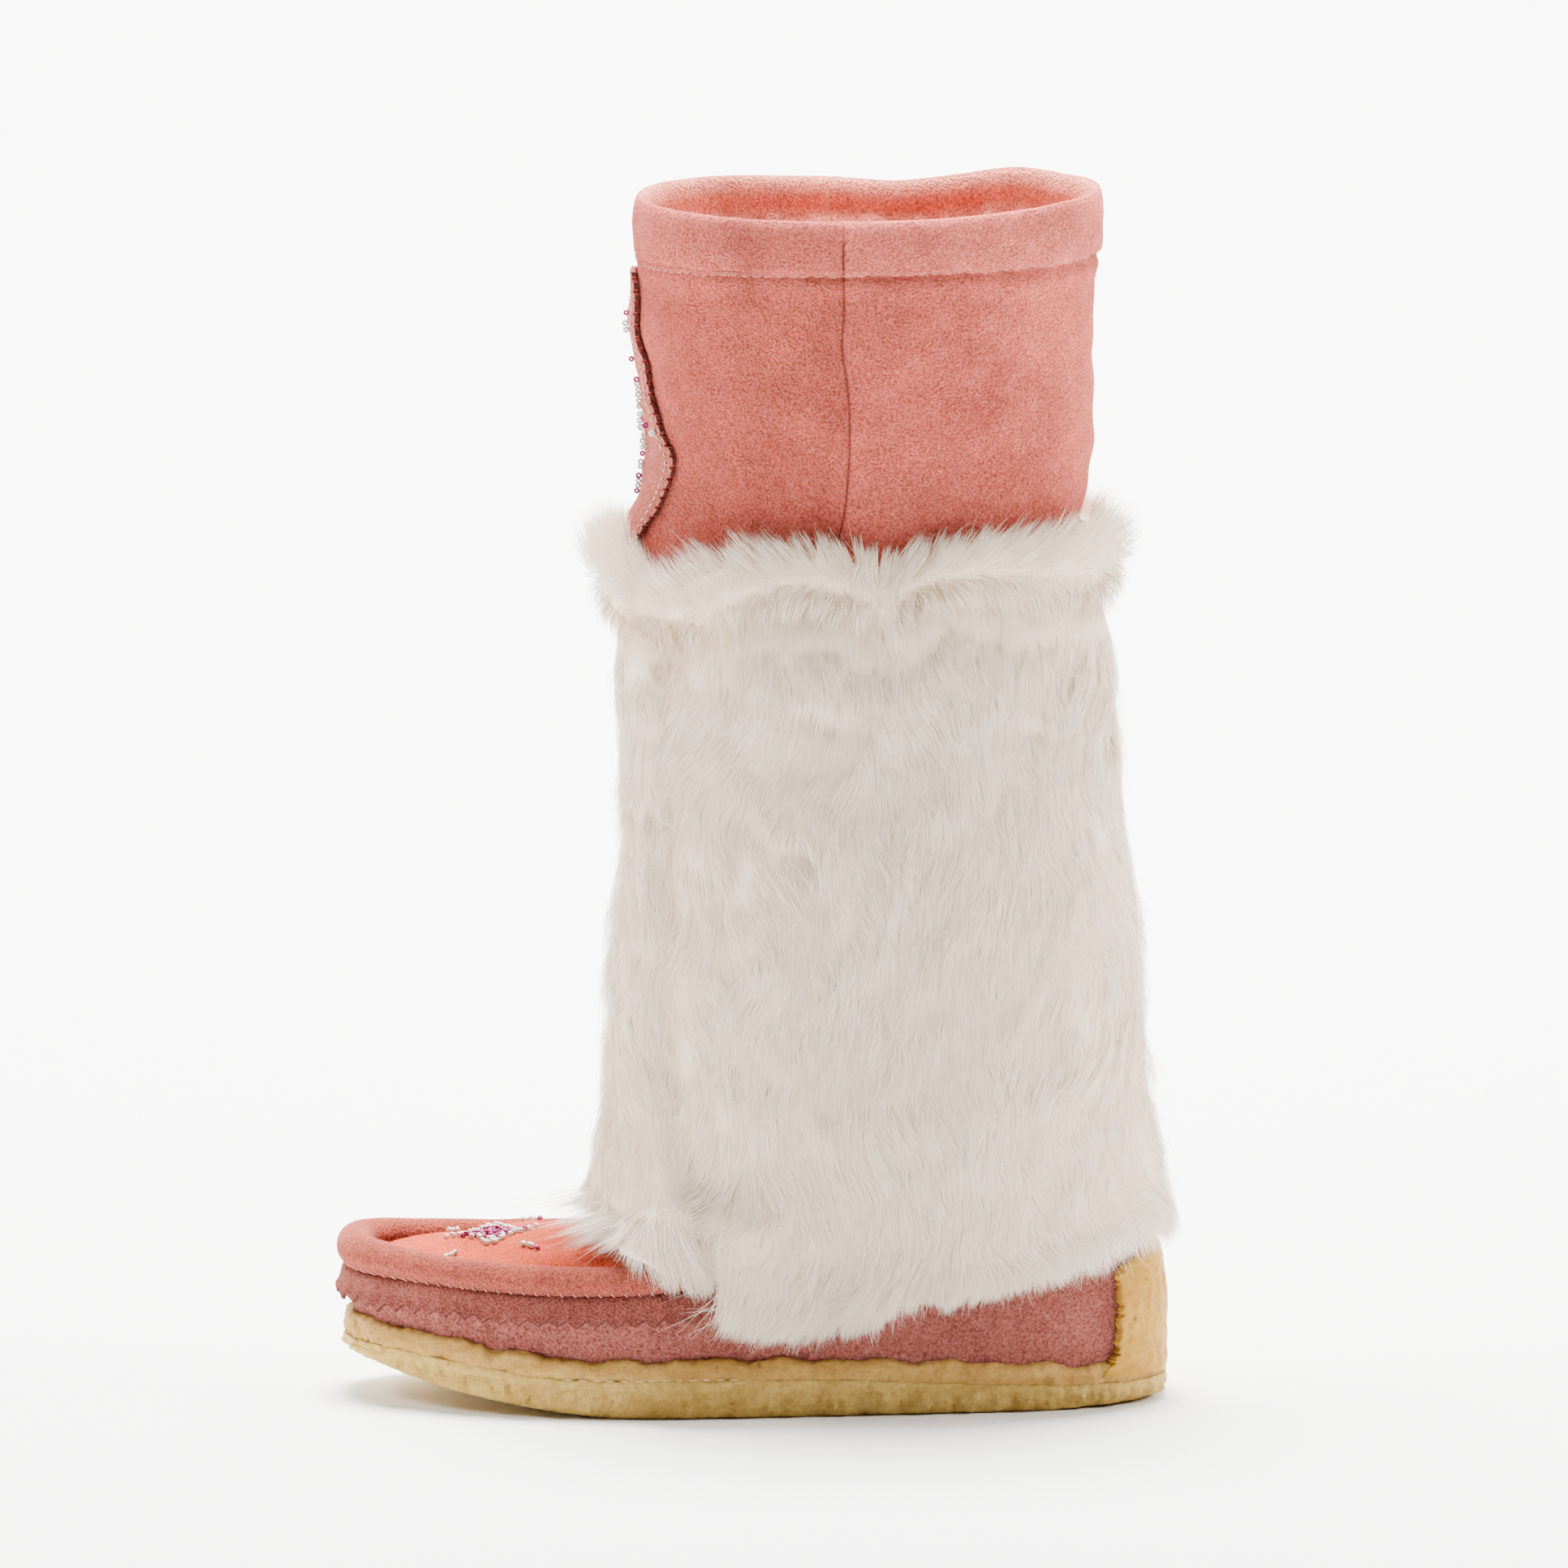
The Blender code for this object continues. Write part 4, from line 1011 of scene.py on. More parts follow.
roll_suede = suede("roll_suede", (0.30, 0.063, 0.042), (0.22, 0.045, 0.030), (0.36, 0.09, 0.066))[0]
roll_piece, stitch_count = make_roll()
print("piping triangles", 2 * len(roll_piece.data.polygons), "stitches", stitch_count)


# %% Pinked strip under the piping
TOOTH_PITCH, TOOTH_DEPTH, TOOTH_STEPS = 0.0064, 0.0026, 10
STRIP_ROWS = 12


def make_trim():
    """Strip on the wall, curled outwards to a dark cut edge that follows a triangle wave; the dark edge is
    partly the cut side and partly a painted shadow line under the teeth.
    """
    theta = even_angles(0.0, ROLL_REACH, TOOTH_PITCH, TOOTH_STEPS)[0]
    top = roll_height(theta) - roll_radius(theta) + 0.0006
    saw = np.abs((np.arange(theta.size) / TOOTH_STEPS) % 1 - 0.5) * 2
    uneven = 0.0004 * waves(sole_edge(theta), 0.012, 71)
    bottom = top - 0.0072 - TOOTH_DEPTH * (1 - saw) - uneven
    curl = 0.0028 + 0.0009 * waves(sole_edge(theta), 0.016, 72)
    outer, inner = [], []
    for share in np.linspace(0, 1, STRIP_ROWS):
        height = bottom + share * (top - bottom)
        level = level_at(theta, height)
        skin = upper_point(theta, level)
        normal = upper_normal(theta, np.clip(level, 1.3, 2.7))
        lift = FACET_GAP + curl * (1 - share) ** 2 + 0.0001
        outer.append(skin + (lift + 0.0012)[:, None] * normal)
        # the back layer reaches lower, so the dark edge faces show under the teeth as a painted shadow line
        behind = upper_point(theta, level_at(theta, height - 0.0008 * (1 - share) ** 4))
        inner.append(behind + lift[:, None] * normal)
    piece = slab_piece("pinked_strip", np.stack(outer), np.stack(inner), trim_suede_painted_shade)
    piece.data.materials.append(trim_edge_and_shadow)
    cut = np.zeros(len(piece.data.polygons), np.int32)
    first = 2 * (STRIP_ROWS - 1) * (theta.size - 1)
    cut[first:first + theta.size - 1] = 1
    piece.data.polygons.foreach_set("material_index", cut)
    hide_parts("pinked_trim")
    return piece


# painted shade: the strip's suede is set darker than the rose wall below it, as shade under the piping
trim_suede_painted_shade = suede("trim_suede_painted_shade", (0.25, 0.066, 0.051), (0.19, 0.048, 0.037), (0.32, 0.11, 0.088))[0]
# dark edge colour: partly the leather's cut side, partly painted shadow under the teeth
trim_edge_and_shadow = suede("trim_cut_edge_and_painted_shadow", (0.085, 0.020, 0.015), (0.06, 0.014, 0.011), (0.12, 0.035, 0.028))[0]
trim_piece = make_trim()
print("strip triangles", 2 * len(trim_piece.data.polygons))

# %% [markdown]
# The shield on the front of the shaft is one stout leather of the suede's own colour, cut with a
# pinking tool. Its cut side is dark, so that from the side each tooth shows as a dark square with
# a pale gap after it. It is cut from the shaft's own front: a patch whose half width follows one
# table down the shield, with square teeth as a repeat along the edge and the dark side as a
# second material on the edge's faces. Its thread runs 3 mm inside.

# %% Shield
SHIELD_TOP, SHIELD_HEIGHT, SHIELD_HALF_WIDTH = 0.373, 0.099, 0.026
PINK_PITCH, PINK_DEPTH, BORDER = 0.0037, 0.0013, 0.0030
SHIELD = [
    # down, width
    (0.00, 0.24),
    (0.08, 0.38),
    (0.25, 0.48),
    (0.40, 0.58),
    (0.50, 0.80),
    (0.58, 1.00),
    (0.68, 0.92),
    (0.82, 0.74),
    (0.93, 0.48),
    (1.00, 0.10),
]


def shield_edge(down):
    return SHIELD_HALF_WIDTH * curve(down, *columns(SHIELD))


def front_point(offset, height, lift):
    """Point on the shaft's front, an offset round it from the middle, lifted off the suede."""
    offset, height = np.broadcast_arrays(offset, height)
    theta = np.sign(offset) * (np.abs(offset) / (SHAFT_WIDTH / 2)) ** (1 / 0.92)
    level = level_at(theta.ravel(), height.ravel()).reshape(theta.shape)
    skin = upper_point(theta, level)
    normal = upper_normal(theta, level)
    skin = skin + leather_depth(theta, skin)[..., None] * normal
    return skin + np.broadcast_to(lift, theta.shape)[..., None] * normal, normal


def make_shield():
    """Patch within the shield's edge, its edge in square teeth, its cut side dark."""
    rows, count = 420, 16
    down = np.linspace(1.0, 0.0, rows)
    half = np.maximum(shield_edge(down), 0.0008)
    length = np.cumsum(np.hypot(np.gradient(half), np.gradient(down) * SHIELD_HEIGHT))
    square = np.clip(5 * (np.sin(length * TURN / PINK_PITCH) + 0.60), -1, 1) * 0.5 + 0.5
    half = half + PINK_DEPTH * (square - 1)
    across = np.linspace(-1, 1, count)
    offset = half[:, None] * across[None, :]
    height = (SHIELD_TOP - down * SHIELD_HEIGHT)[:, None]
    inner, _ = front_point(offset, height, 0.0006)
    outer, normal = front_point(offset, height, 0.0024 - 0.0002 * np.abs(across[None, :]) ** 8)
    outer = outer + 0.00012 * waves(outer, 0.008, 81)[..., None] * normal
    piece = slab_piece("front_shield_leather", outer, inner, shield_pink)
    piece.data.materials.append(cut_edge)
    cut = np.zeros(len(piece.data.polygons), np.int32)
    tooth = np.minimum(square[1:], square[:-1]) > 0.6
    cut[-2 * (rows - 1):] = np.concatenate([tooth, tooth])
    piece.data.polygons.foreach_set("material_index", cut)
    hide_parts("front_shield")
    return piece


shield_pink = suede("shield_pink", (0.50, 0.125, 0.095), (0.38, 0.09, 0.07), (0.60, 0.20, 0.16))[0]
shield_piece = make_shield()
print("shield triangles", 2 * len(shield_piece.data.polygons))

# %% [markdown]
# Stitches are short lengths of thick thread that dive at both ends. Each is a small bent tube,
# five rings of six points, and a whole row of them is one joined mesh.

# %% Stitches
def stitch_row(name, starts, ends, normals, radius, material):
    """Arched tubes from starts to ends; the middle stands up by the thread's own radius."""
    along = unit(ends - starts)
    side = unit(np.cross(normals, along))
    up = np.cross(along, side)
    share = np.array([0.0, 0.2, 0.5, 0.8, 1.0])
    lift = np.array([-0.8, 0.35, 0.8, 0.35, -0.8]) * radius
    thick = np.array([0.55, 1.0, 1.0, 1.0, 0.55]) * radius
    turns = round_angles(6)
    centre = (starts[:, None] + share[None, :, None] * (ends - starts)[:, None]
              + lift[None, :, None] * up[:, None])
    spoke = np.cos(turns)[None, :, None] * side[:, None] + np.sin(turns)[None, :, None] * up[:, None]
    points = centre[:, :, None] + thick[None, :, None, None] * spoke[:, None]
    one = [ring_quads(5, 6)[:, ::-1]] + strip_caps(0, 6, True) + strip_caps(24, 6, False)
    shift = (np.arange(len(starts)) * 30)[:, None, None]
    faces = [(part[None] + shift).reshape(-1, part.shape[1]) for part in one]
    return mesh_piece(name, points, faces, material)


def casing_stitches():
    """Running stitch in the groove at the casing's foot."""
    count = 110
    theta = round_angles(count)
    ends = []
    for shift in (0.0, 0.62):
        at = theta + shift * TURN / count
        level = level_at(wrapped(at), CASING_FOOT + 0.0004 - 0.0015 * np.cos(at))
        skin, normal = upper_point(at, level), upper_normal(at, level)
        ends.append(skin + (leather_depth(at, skin) + 0.0001)[:, None] * normal)
    return stitch_row("casing_stitches", ends[0], ends[1], normal, 0.00020, thread_casing)


def roll_stitches():
    """Short slanted stitches that whip the piping's lower edge to the wall."""
    theta, _ = even_angles(0.004, ROLL_REACH * 0.98, STITCH_PITCH, 1)
    centre, along, side, upward = roll_frame(theta)
    radius = roll_radius(theta)[:, None]
    start = centre + radius * (math.cos(0.78) * side - math.sin(0.78) * upward) - 0.0004 * along
    end = centre + radius * (math.cos(1.30) * side - math.sin(1.30) * upward) + 0.0005 * along
    out = math.cos(1.05) * side - math.sin(1.05) * upward
    return stitch_row("piping_stitches", start, end, out, 0.00026, thread_rose)


def shield_stitches():
    """Pale stitches round the upper leather of the shield, a little inside its edge."""
    down = np.linspace(0.05, 0.90, 34)
    starts, ends, normals = [], [], []
    for sign in (-1, 1):
        for shift, store in ((0.0, starts), (0.55, ends)):
            at = down + shift * (down[1] - down[0])
            offset = sign * np.maximum(shield_edge(at) - BORDER, 0.0005)
            point, normal = front_point(offset, SHIELD_TOP - at * SHIELD_HEIGHT, 0.0025)
            store.append(point)
        normals.append(normal)
    return stitch_row("shield_stitches", np.concatenate(starts), np.concatenate(ends),
                      np.concatenate(normals), 0.00028, thread_pale)


def sole_stitches():
    """White stitches in the groove between the crepe layers, at the ball of the foot."""
    share = np.linspace(0.27, 0.47, 13)
    theta = np.arccos(1 - 2 * share)
    starts, ends, normals = [], [], []
    for sign in (1, -1):
        for shift, store in ((0.0, starts), (0.55, ends)):
            at = sign * (theta + shift * (theta[1] - theta[0]))
            _, rim_top, _ = sole_heights(sole_edge(at)[..., 0])
            store.append(lifted(outline(at, 0.0002), rim_top + 0.0002))
        normals.append(outward(at))
    return stitch_row("sole_stitches", np.concatenate(starts), np.concatenate(ends),
                      np.concatenate(normals), 0.00026, thread_white)


thread_white = glossy("thread_white", (0.66, 0.50, 0.27), 0.7)
for row in (casing_stitches(), roll_stitches(), shield_stitches(), sole_stitches()):
    print(row.name, "triangles", 2 * len(row.data.polygons))

# %% [markdown]
# Seed beads are sewn on in short rows. The apron carries a four-pointed star of bricks with four
# short rays round it, a common figure in northern beadwork, and the shield a line of beads down
# its middle. Each bead is a little ring on its thread, which lies along the leather, so a row is
# charted as steps from a centre, and the surface below gives height and tilt.

# %% Beads
BEAD = 0.0019
STAR_CENTRE = (-0.0865, 0.0)


def surface_at(grid, x, y):
    """Nearest point of a grid, seen from above, with the grid's normal there."""
    normal = unit(np.cross(np.gradient(grid, axis=1), np.gradient(grid, axis=0)), 1e-12)
    flat, normals = grid.reshape(-1, 3), normal.reshape(-1, 3)
    near = [int(np.argmin((flat[:, 0] - a) ** 2 + (flat[:, 1] - b) ** 2)) for a, b in zip(x, y)]
    return flat[near], normals[near]


STAR_ROWS = [
    # row across the foot, first bead, last bead, in steps along the foot
    (0, -7.0, 7.0), (1, -4.5, 4.5), (2, -3.0, 3.0), (3, -2.0, 2.0), (4, -1.5, 1.5), (5, -1.0, 1.0),
    (6, -0.5, 0.5),
]
STAR_ACCENTS = [(-4.5, -1), (-3.5, -1), (4.5, 1), (-4.0, 0), (5.0, 0)]
STEP_ALONG, STEP_ACROSS = 0.0021, 0.00175


def star_chart():
    """Bricks of the star, magenta in the middle, and four rays outside it: place, kind, way."""
    beads = []
    for row, first, last in STAR_ROWS:
        for sign in ((1,) if row == 0 else (-1, 1)):
            for at in np.arange(first, last + 0.1):
                heart = abs(at) + 0.75 * row < 3.4 or (float(at), sign * row) in STAR_ACCENTS
                kind = "magenta" if heart else "white"
                beads.append((at * STEP_ALONG, sign * row * STEP_ACROSS, kind, 1.2))
    for sign in (-1, 1):
        for k in range(3):
            beads.append((-0.0145 + 0.0016 * k, sign * (0.0178 - 0.0011 * k), "white", 0.6 * sign))
        for k in range(4):
            kind = "magenta" if k == 3 else "white"
            beads.append((0.0105 + 0.0016 * k, sign * (0.0172 + 0.0012 * k), kind, -0.6 * sign))
    return beads


def place_beads(name, points, normals, kinds, size, ways):
    """One joined mesh of beads for each colour; a way is the thread's angle from the boot's length."""
    rng = np.random.default_rng(91)
    radii = size / 2 * rng.uniform(0.90, 1.10, len(points))
    axes = np.stack([np.cos(ways), np.sin(ways), np.zeros(len(points))], -1)
    axes = axes + rng.normal(0, 0.10, (len(points), 3))
    axes = unit(axes - (axes * normals).sum(1, keepdims=True) * normals)
    points = points + normals * (0.85 * radii)[:, None]
    for kind, material in (("white", bead_white), ("magenta", bead_magenta), ("clear", bead_clear)):
        chosen = np.array([one == kind for one in kinds])
        if chosen.any():
            beads = ball_beads(name + "_" + kind, points[chosen], axes[chosen], radii[chosen], material)
            print(beads.name, int(chosen.sum()), "beads")


star = star_chart()
star_x = np.array([STAR_CENTRE[0] + row[0] for row in star])
star_y = np.array([STAR_CENTRE[1] + row[1] for row in star])
star_ways = np.array([row[3] for row in star])
place_beads("apron_beads", *surface_at(apron_skin, star_x, star_y), [row[2] for row in star], BEAD, star_ways)

SHIELD_BEADS = [
    # height, offset, colour
    (0.3595, 0.0, "magenta"), (0.3565, 0.0, "clear"), (0.3545, 0.0, "clear"), (0.3455, 0.0, "magenta"),
    (0.3380, 0.0, "magenta"), (0.3365, 0.0, "white"), (0.3345, 0.0, "white"), (0.3325, 0.0, "white"),
    (0.3300, 0.0, "white"), (0.3280, 0.0, "white"), (0.3255, 0.0, "white"), (0.3235, 0.0, "white"),
    (0.3215, 0.0, "white"), (0.3170, 0.0, "white"), (0.3150, 0.0, "white"), (0.3130, 0.0, "magenta"),
    (0.3105, 0.0, "white"), (0.3090, 0.0, "white"), (0.3060, 0.0, "magenta"), (0.3040, 0.0, "clear"),
    (0.3020, 0.0, "clear"), (0.3000, 0.0, "magenta"), (0.3225, 0.0175, "clear"), (0.3225, -0.0175, "clear"),
    (0.3200, 0.0060, "white"), (0.3200, -0.0060, "white"), (0.3235, 0.0095, "magenta"),
    (0.3235, -0.0095, "magenta"), (0.3170, 0.0090, "white"), (0.3170, -0.0090, "white"),
    (0.3270, 0.0070, "white"), (0.3270, -0.0070, "white"),
]
bead_heights, bead_offsets = (np.array([row[i] for row in SHIELD_BEADS]) for i in (0, 1))
bead_spots, bead_ways = front_point(bead_offsets, bead_heights, 0.0024)
place_beads("shield_beads", bead_spots, bead_ways, [row[2] for row in SHIELD_BEADS], 0.0021,
            np.full(len(SHIELD_BEADS), 1.57))

# %% [markdown]
# The fur is rabbit or goat hair on the skin, sewn round the leg in a front panel, two side panels
# and a rolled cuff at the top. Hairs grow out of the skin, bend over and lie downwards, fine and
# close, and on the cuff they turn up and flare. A soft pelt is made first in the form of the
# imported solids, with the fold under the cuff, the seams and the partings as hollows, and hairs
# are laid over it. Each is drawn in the coat's own measures, angle round the leg, height and lift
# off the skin, and turned into space at the end, so that it follows the leg whatever its bend.

# %% Tables of the fur
FUR_PROFILE = [
    # height_share, front, side, back
    (0.00, 0.50, 0.62, 0.66),
    (0.14, 0.62, 0.86, 0.80),
    (0.24, 0.58, 0.96, 0.96),
    (0.40, 0.90, 1.00, 1.02),
    (0.60, 0.92, 0.94, 0.92),
    (0.80, 0.90, 0.94, 0.90),
    (0.92, 0.98, 1.00, 0.98),
    (1.00, 1.02, 1.04, 1.06),
]
HEM_FRONT = [
    # across, height
    (0.00, 1.29), (0.12, 1.27), (0.37, 1.17), (0.46, 1.11), (0.58, 1.06), (0.68, 1.02), (0.87, 0.97),
    (1.00, 1.02),
]
HEM_SIDE = [
    # across, height
    (0.00, 0.80), (0.05, 0.68), (0.12, 0.63), (0.20, 0.68), (0.32, 0.73), (0.40, 0.80),
    (0.45, 0.86), (0.52, 0.88), (0.67, 0.90), (0.74, 0.95), (0.80, 1.04), (0.90, 1.15), (1.00, 1.20),
]
FUR_SEAM = [
    # height_share, turn
    (0.00, 0.116), (0.18, 0.108), (0.33, 0.076), (0.52, 0.067), (1.00, 0.065),
]
FUR_EDGE = [
    # turn, height_share
    (0.000, 1.000), (0.040, 0.985), (0.068, 0.958), (0.095, 0.980), (0.140, 0.996),
    (0.200, 1.000), (0.245, 0.986), (0.290, 0.998), (0.500, 1.012),
]
CUFF_FOLD = [
    # turn, height
    (0.000, 0.260), (0.067, 0.258), (0.107, 0.263), (0.135, 0.271), (0.178, 0.273), (0.220, 0.268),
    (0.250, 0.262), (0.281, 0.272), (0.353, 0.275), (0.413, 0.270), (0.500, 0.267),
]
PARTINGS = [
    # turn, height, half_turn, half_height, slope in metres a turn, depth
    (0.155, 0.196, 0.030, 0.0035, -0.62, 0.34),
    (0.190, 0.240, 0.034, 0.0030, -0.25, 0.26),
    (0.112, 0.196, 0.012, 0.0120, 0.00, 0.22),
    (0.175, 0.182, 0.022, 0.0050, -0.55, 0.20),
    (0.395, 0.235, 0.030, 0.0040, -0.25, 0.18),
    (0.215, 0.125, 0.020, 0.0100, -0.30, 0.12),
    (0.330, 0.150, 0.045, 0.0120, -0.20, 0.10),
]
MOUNDS = [
    # turn, height, half_turn, half_height, rise
    (0.176, 0.252, 0.032, 0.012, 0.26),
    (0.090, 0.268, 0.030, 0.014, 0.16),
    (0.300, 0.250, 0.050, 0.016, 0.14),
    (0.220, 0.190, 0.050, 0.020, 0.10),
    (0.130, 0.150, 0.030, 0.030, 0.08),
    (0.085, 0.062, 0.030, 0.014, 0.22),
    (0.330, 0.080, 0.060, 0.030, 0.08),
]
FANS = [
    # turn, height where the fan ends, rise to full, half_turn, spread
    (0.222, 0.205, 0.052, 0.110, 0.75),
    (0.150, 0.120, 0.050, 0.060, 0.22),
    (0.360, 0.060, 0.070, 0.080, 0.30),
]
AROUND = 0.42

# %% Ground of the fur
GROUND_HEIGHTS = np.linspace(0.010, 0.318, 220)
GROUND_TURNS = np.linspace(-0.5, 0.5, 721)


def ground_table():
    """Distance of the suede from the boot's upright middle line, by height and turn."""
    theta = np.linspace(-math.pi, math.pi, 720, endpoint=False)
    rings = upper_rings(theta, np.zeros(theta.shape))
    x, y = (np.array([np.interp(GROUND_HEIGHTS, ring[:, 2], ring[:, axis]) for ring in rings.swapaxes(0, 1)])
            for axis in (0, 1))
    angle = np.arctan2(-y, CENTRE_X - x)
    distance = np.hypot(x - CENTRE_X, y)
    return np.array([np.interp(GROUND_TURNS * TURN, angle[:, k], distance[:, k], period=TURN)
                     for k in range(GROUND_HEIGHTS.size)])


def draped(table):
    """Ground with its hollows up the leg filled, as a pelt pulled over them; the front stays."""
    sheet = table.copy()
    for _ in range(70):
        sheet[1:-1] = np.maximum(table[1:-1], (sheet[:-2] + sheet[2:]) / 2)
    return table + (sheet - table) * ease((np.abs(GROUND_TURNS) - 0.048) / 0.035)


GROUND = draped(ground_table())


def ground_distance(turn, height):
    """Bilinear reading of the table; turns wrap round."""
    column = ((turn + 0.5) % 1.0) * (GROUND_TURNS.size - 1)
    row = np.clip((height - GROUND_HEIGHTS[0]) / (GROUND_HEIGHTS[1] - GROUND_HEIGHTS[0]), 0,
                  GROUND_HEIGHTS.size - 1.001)
    i, j = row.astype(int), np.minimum(column.astype(int), GROUND_TURNS.size - 2)
    a, b = row - i, column - j
    return ((1 - a) * ((1 - b) * GROUND[i, j] + b * GROUND[i, j + 1])
            + a * ((1 - b) * GROUND[i + 1, j] + b * GROUND[i + 1, j + 1]))


def plan_point(turn, height):
    distance = ground_distance(turn, height)
    return np.stack([CENTRE_X - distance * np.cos(turn * TURN), -distance * np.sin(turn * TURN)], -1)


def ground_slope(turn, height):
    """Growth of the distance with height, over six millimetres: 0 on an upright wall."""
    return (ground_distance(turn, height + 0.003) - ground_distance(turn, height - 0.003)) / 0.006


def clearance(turn, x, height):
    """Room under the fur for the piping and the apron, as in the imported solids."""
    roll = (ROLL_RADIUS + WALL_INSET) * ease((0.025 - x) / 0.035) * ease((np.abs(turn) - 0.05) / 0.04)
    roll = roll * ease((1.1 * ROLL_HEIGHT + ROLL_RADIUS + 0.025 - height) / 0.025)
    apron = 0.0030 * ease((X_FRONT + 0.020 - x) / 0.012) * ease((ANKLE_HEIGHT - height) / 0.020)
    return 0.0008 + np.maximum(roll, apron)


def fur_point(turn, height, lift):
    """Point in space, lifted off the ground along the ground's own normal."""
    turn, height, lift = np.broadcast_arrays(turn, height, lift)
    here = plan_point(turn, height)
    along = plan_point(turn + 0.004, height) - plan_point(turn - 0.004, height)
    level = unit(np.stack([along[..., 1], -along[..., 0]], -1))
    normal = unit(lifted(level, -ground_slope(turn, height)))
    room = clearance(turn, here[..., 0], height) + lift
    return lifted(here, height) + room[..., None] * normal


# %% Shape and comb of the coat
def seam_turn(height):
    return curve(np.clip(height / FUR_TOP, 0, 1), *columns(FUR_SEAM))


def top_edge(turn):
    side = np.abs(turn)
    return FUR_TOP * curve(side, *columns(FUR_EDGE)) - 0.0036 + 0.0016 * bump(side - 0.25, 0.02)


def fold_height(turn):
    return curve(np.abs(turn), *columns(CUFF_FOLD))


def hollows(turn, height):
    """Share of the depth left by the fold, the panel seams and the partings, 1 where full."""
    side = np.abs(turn)
    strong = 1 - 0.75 * bump(side - 0.256, 0.014) - 0.35 * bump(side, 0.05)
    under = fold_height(turn) - height
    left = 1 - 0.42 * strong * bump(under + 0.0005, 0.0055) - 0.20 * strong * bump(under - 0.006, 0.007)
    left *= 1 - 0.34 * bump((side - seam_turn(height)) * AROUND, 0.0035) * ease((0.280 - height) / 0.02)
    for place, level, half_turn, half_height, slope, depth in PARTINGS:
        line = level + slope * (side - place) * AROUND
        left *= 1 - depth * bump(height - line, half_height) * bump(side - place, half_turn)
    return left


def mounds(turn, height):
    """Soft swellings placed one by one, as shares of the depth."""
    total = np.zeros(np.broadcast(turn, height).shape)
    for place, level, half_turn, half_height, rise in MOUNDS:
        total += rise * bump(np.abs(turn) - place, half_turn) * bump(height - level, half_height)
    return total


def coat(turn, height):
    """Depth of the fur: its profile, soft swellings, and the hollows."""
    places, front, side, back = columns(FUR_PROFILE)
    share = np.clip(height / FUR_TOP, 0, 1)
    facing = np.cos(TURN * turn)
    end = np.where(facing > 0, curve(share, places, front), curve(share, places, back))
    weight = np.abs(facing) ** 1.5
    depth = FUR_DEPTH * (weight * end + (1 - weight) * curve(share, places, side))
    spot = np.stack([turn * AROUND, height * 0.8], -1)
    depth *= 1 + 0.075 * waves(spot, 0.042, 131) + 0.035 * waves(spot, 0.017, 132)
    cuff = np.clip((height - fold_height(turn)) / (top_edge(turn) - fold_height(turn)), 0, 1)
    depth *= 1 + 0.22 * np.sin(math.pi * cuff) + mounds(turn, height)
    return depth * hollows(turn, height)


def comb(turn, height):
    """Measure across the coat whose lines of equal value the hairs follow."""
    side = np.abs(turn) * AROUND
    spot = np.stack([turn * AROUND, height], -1)
    value = side + 0.0052 * waves(spot, 0.120, 111, 6) + 0.0012 * waves(spot, 0.036, 112, 8)
    value += 0.0028 * waves(spot, 0.070, 113, 6)
    for place, low, rise, half_turn, spread in FANS:
        off = side - place * AROUND
        value += spread * off * ease((height - low) / rise) * bump(off, half_turn * AROUND)
    front = ease((seam_turn(height) - np.abs(turn)) / 0.02)
    return np.sign(turn) * (value - front * 0.28 * (0.30 - height))


def sway(turn, height):
    """Angle of the hairs from straight down, from the comb's two slopes."""
    up = (comb(turn, height + 0.001) - comb(turn, height - 0.001)) / 0.002
    round_leg = (comb(turn + 0.001, height) - comb(turn - 0.001, height)) / (0.002 * AROUND)
    angle = np.arctan2(up, np.maximum(round_leg, 0.3))
    return np.where(np.abs(turn) < 0.004, 0.0, np.clip(angle, -1.1, 1.1))


def coat_normal(turn, height):
    """Normal of the coat's surface, from steps round and up."""
    def at(a, b):
        return fur_point(a, b, coat(a, b))
    return unit(np.cross(at(turn + 0.003, height) - at(turn - 0.003, height),
                         at(turn, height + 0.0015) - at(turn, height - 0.0015)), 1e-12)


def panel_place(panel, across, up):
    """Turn and height at a share across and a share up a panel, with its hem and its top."""
    front = panel == "front"
    hem = ROLL_HEIGHT * curve(np.abs(across), *columns(HEM_FRONT if front else HEM_SIDE))
    top_seam = FUR_SEAM[-1][1]
    top = top_edge(across * top_seam if front else top_seam + across * (0.5 - top_seam))
    height = hem + (top - hem) * up
    seam = seam_turn(height)
    side = -1 if panel == "inner" else 1
    turn = across * seam if front else side * (seam + across * (0.5 - seam))
    return turn, height, hem, top


print("ground of the fur between", np.round([GROUND.min(), GROUND.max()], 3))


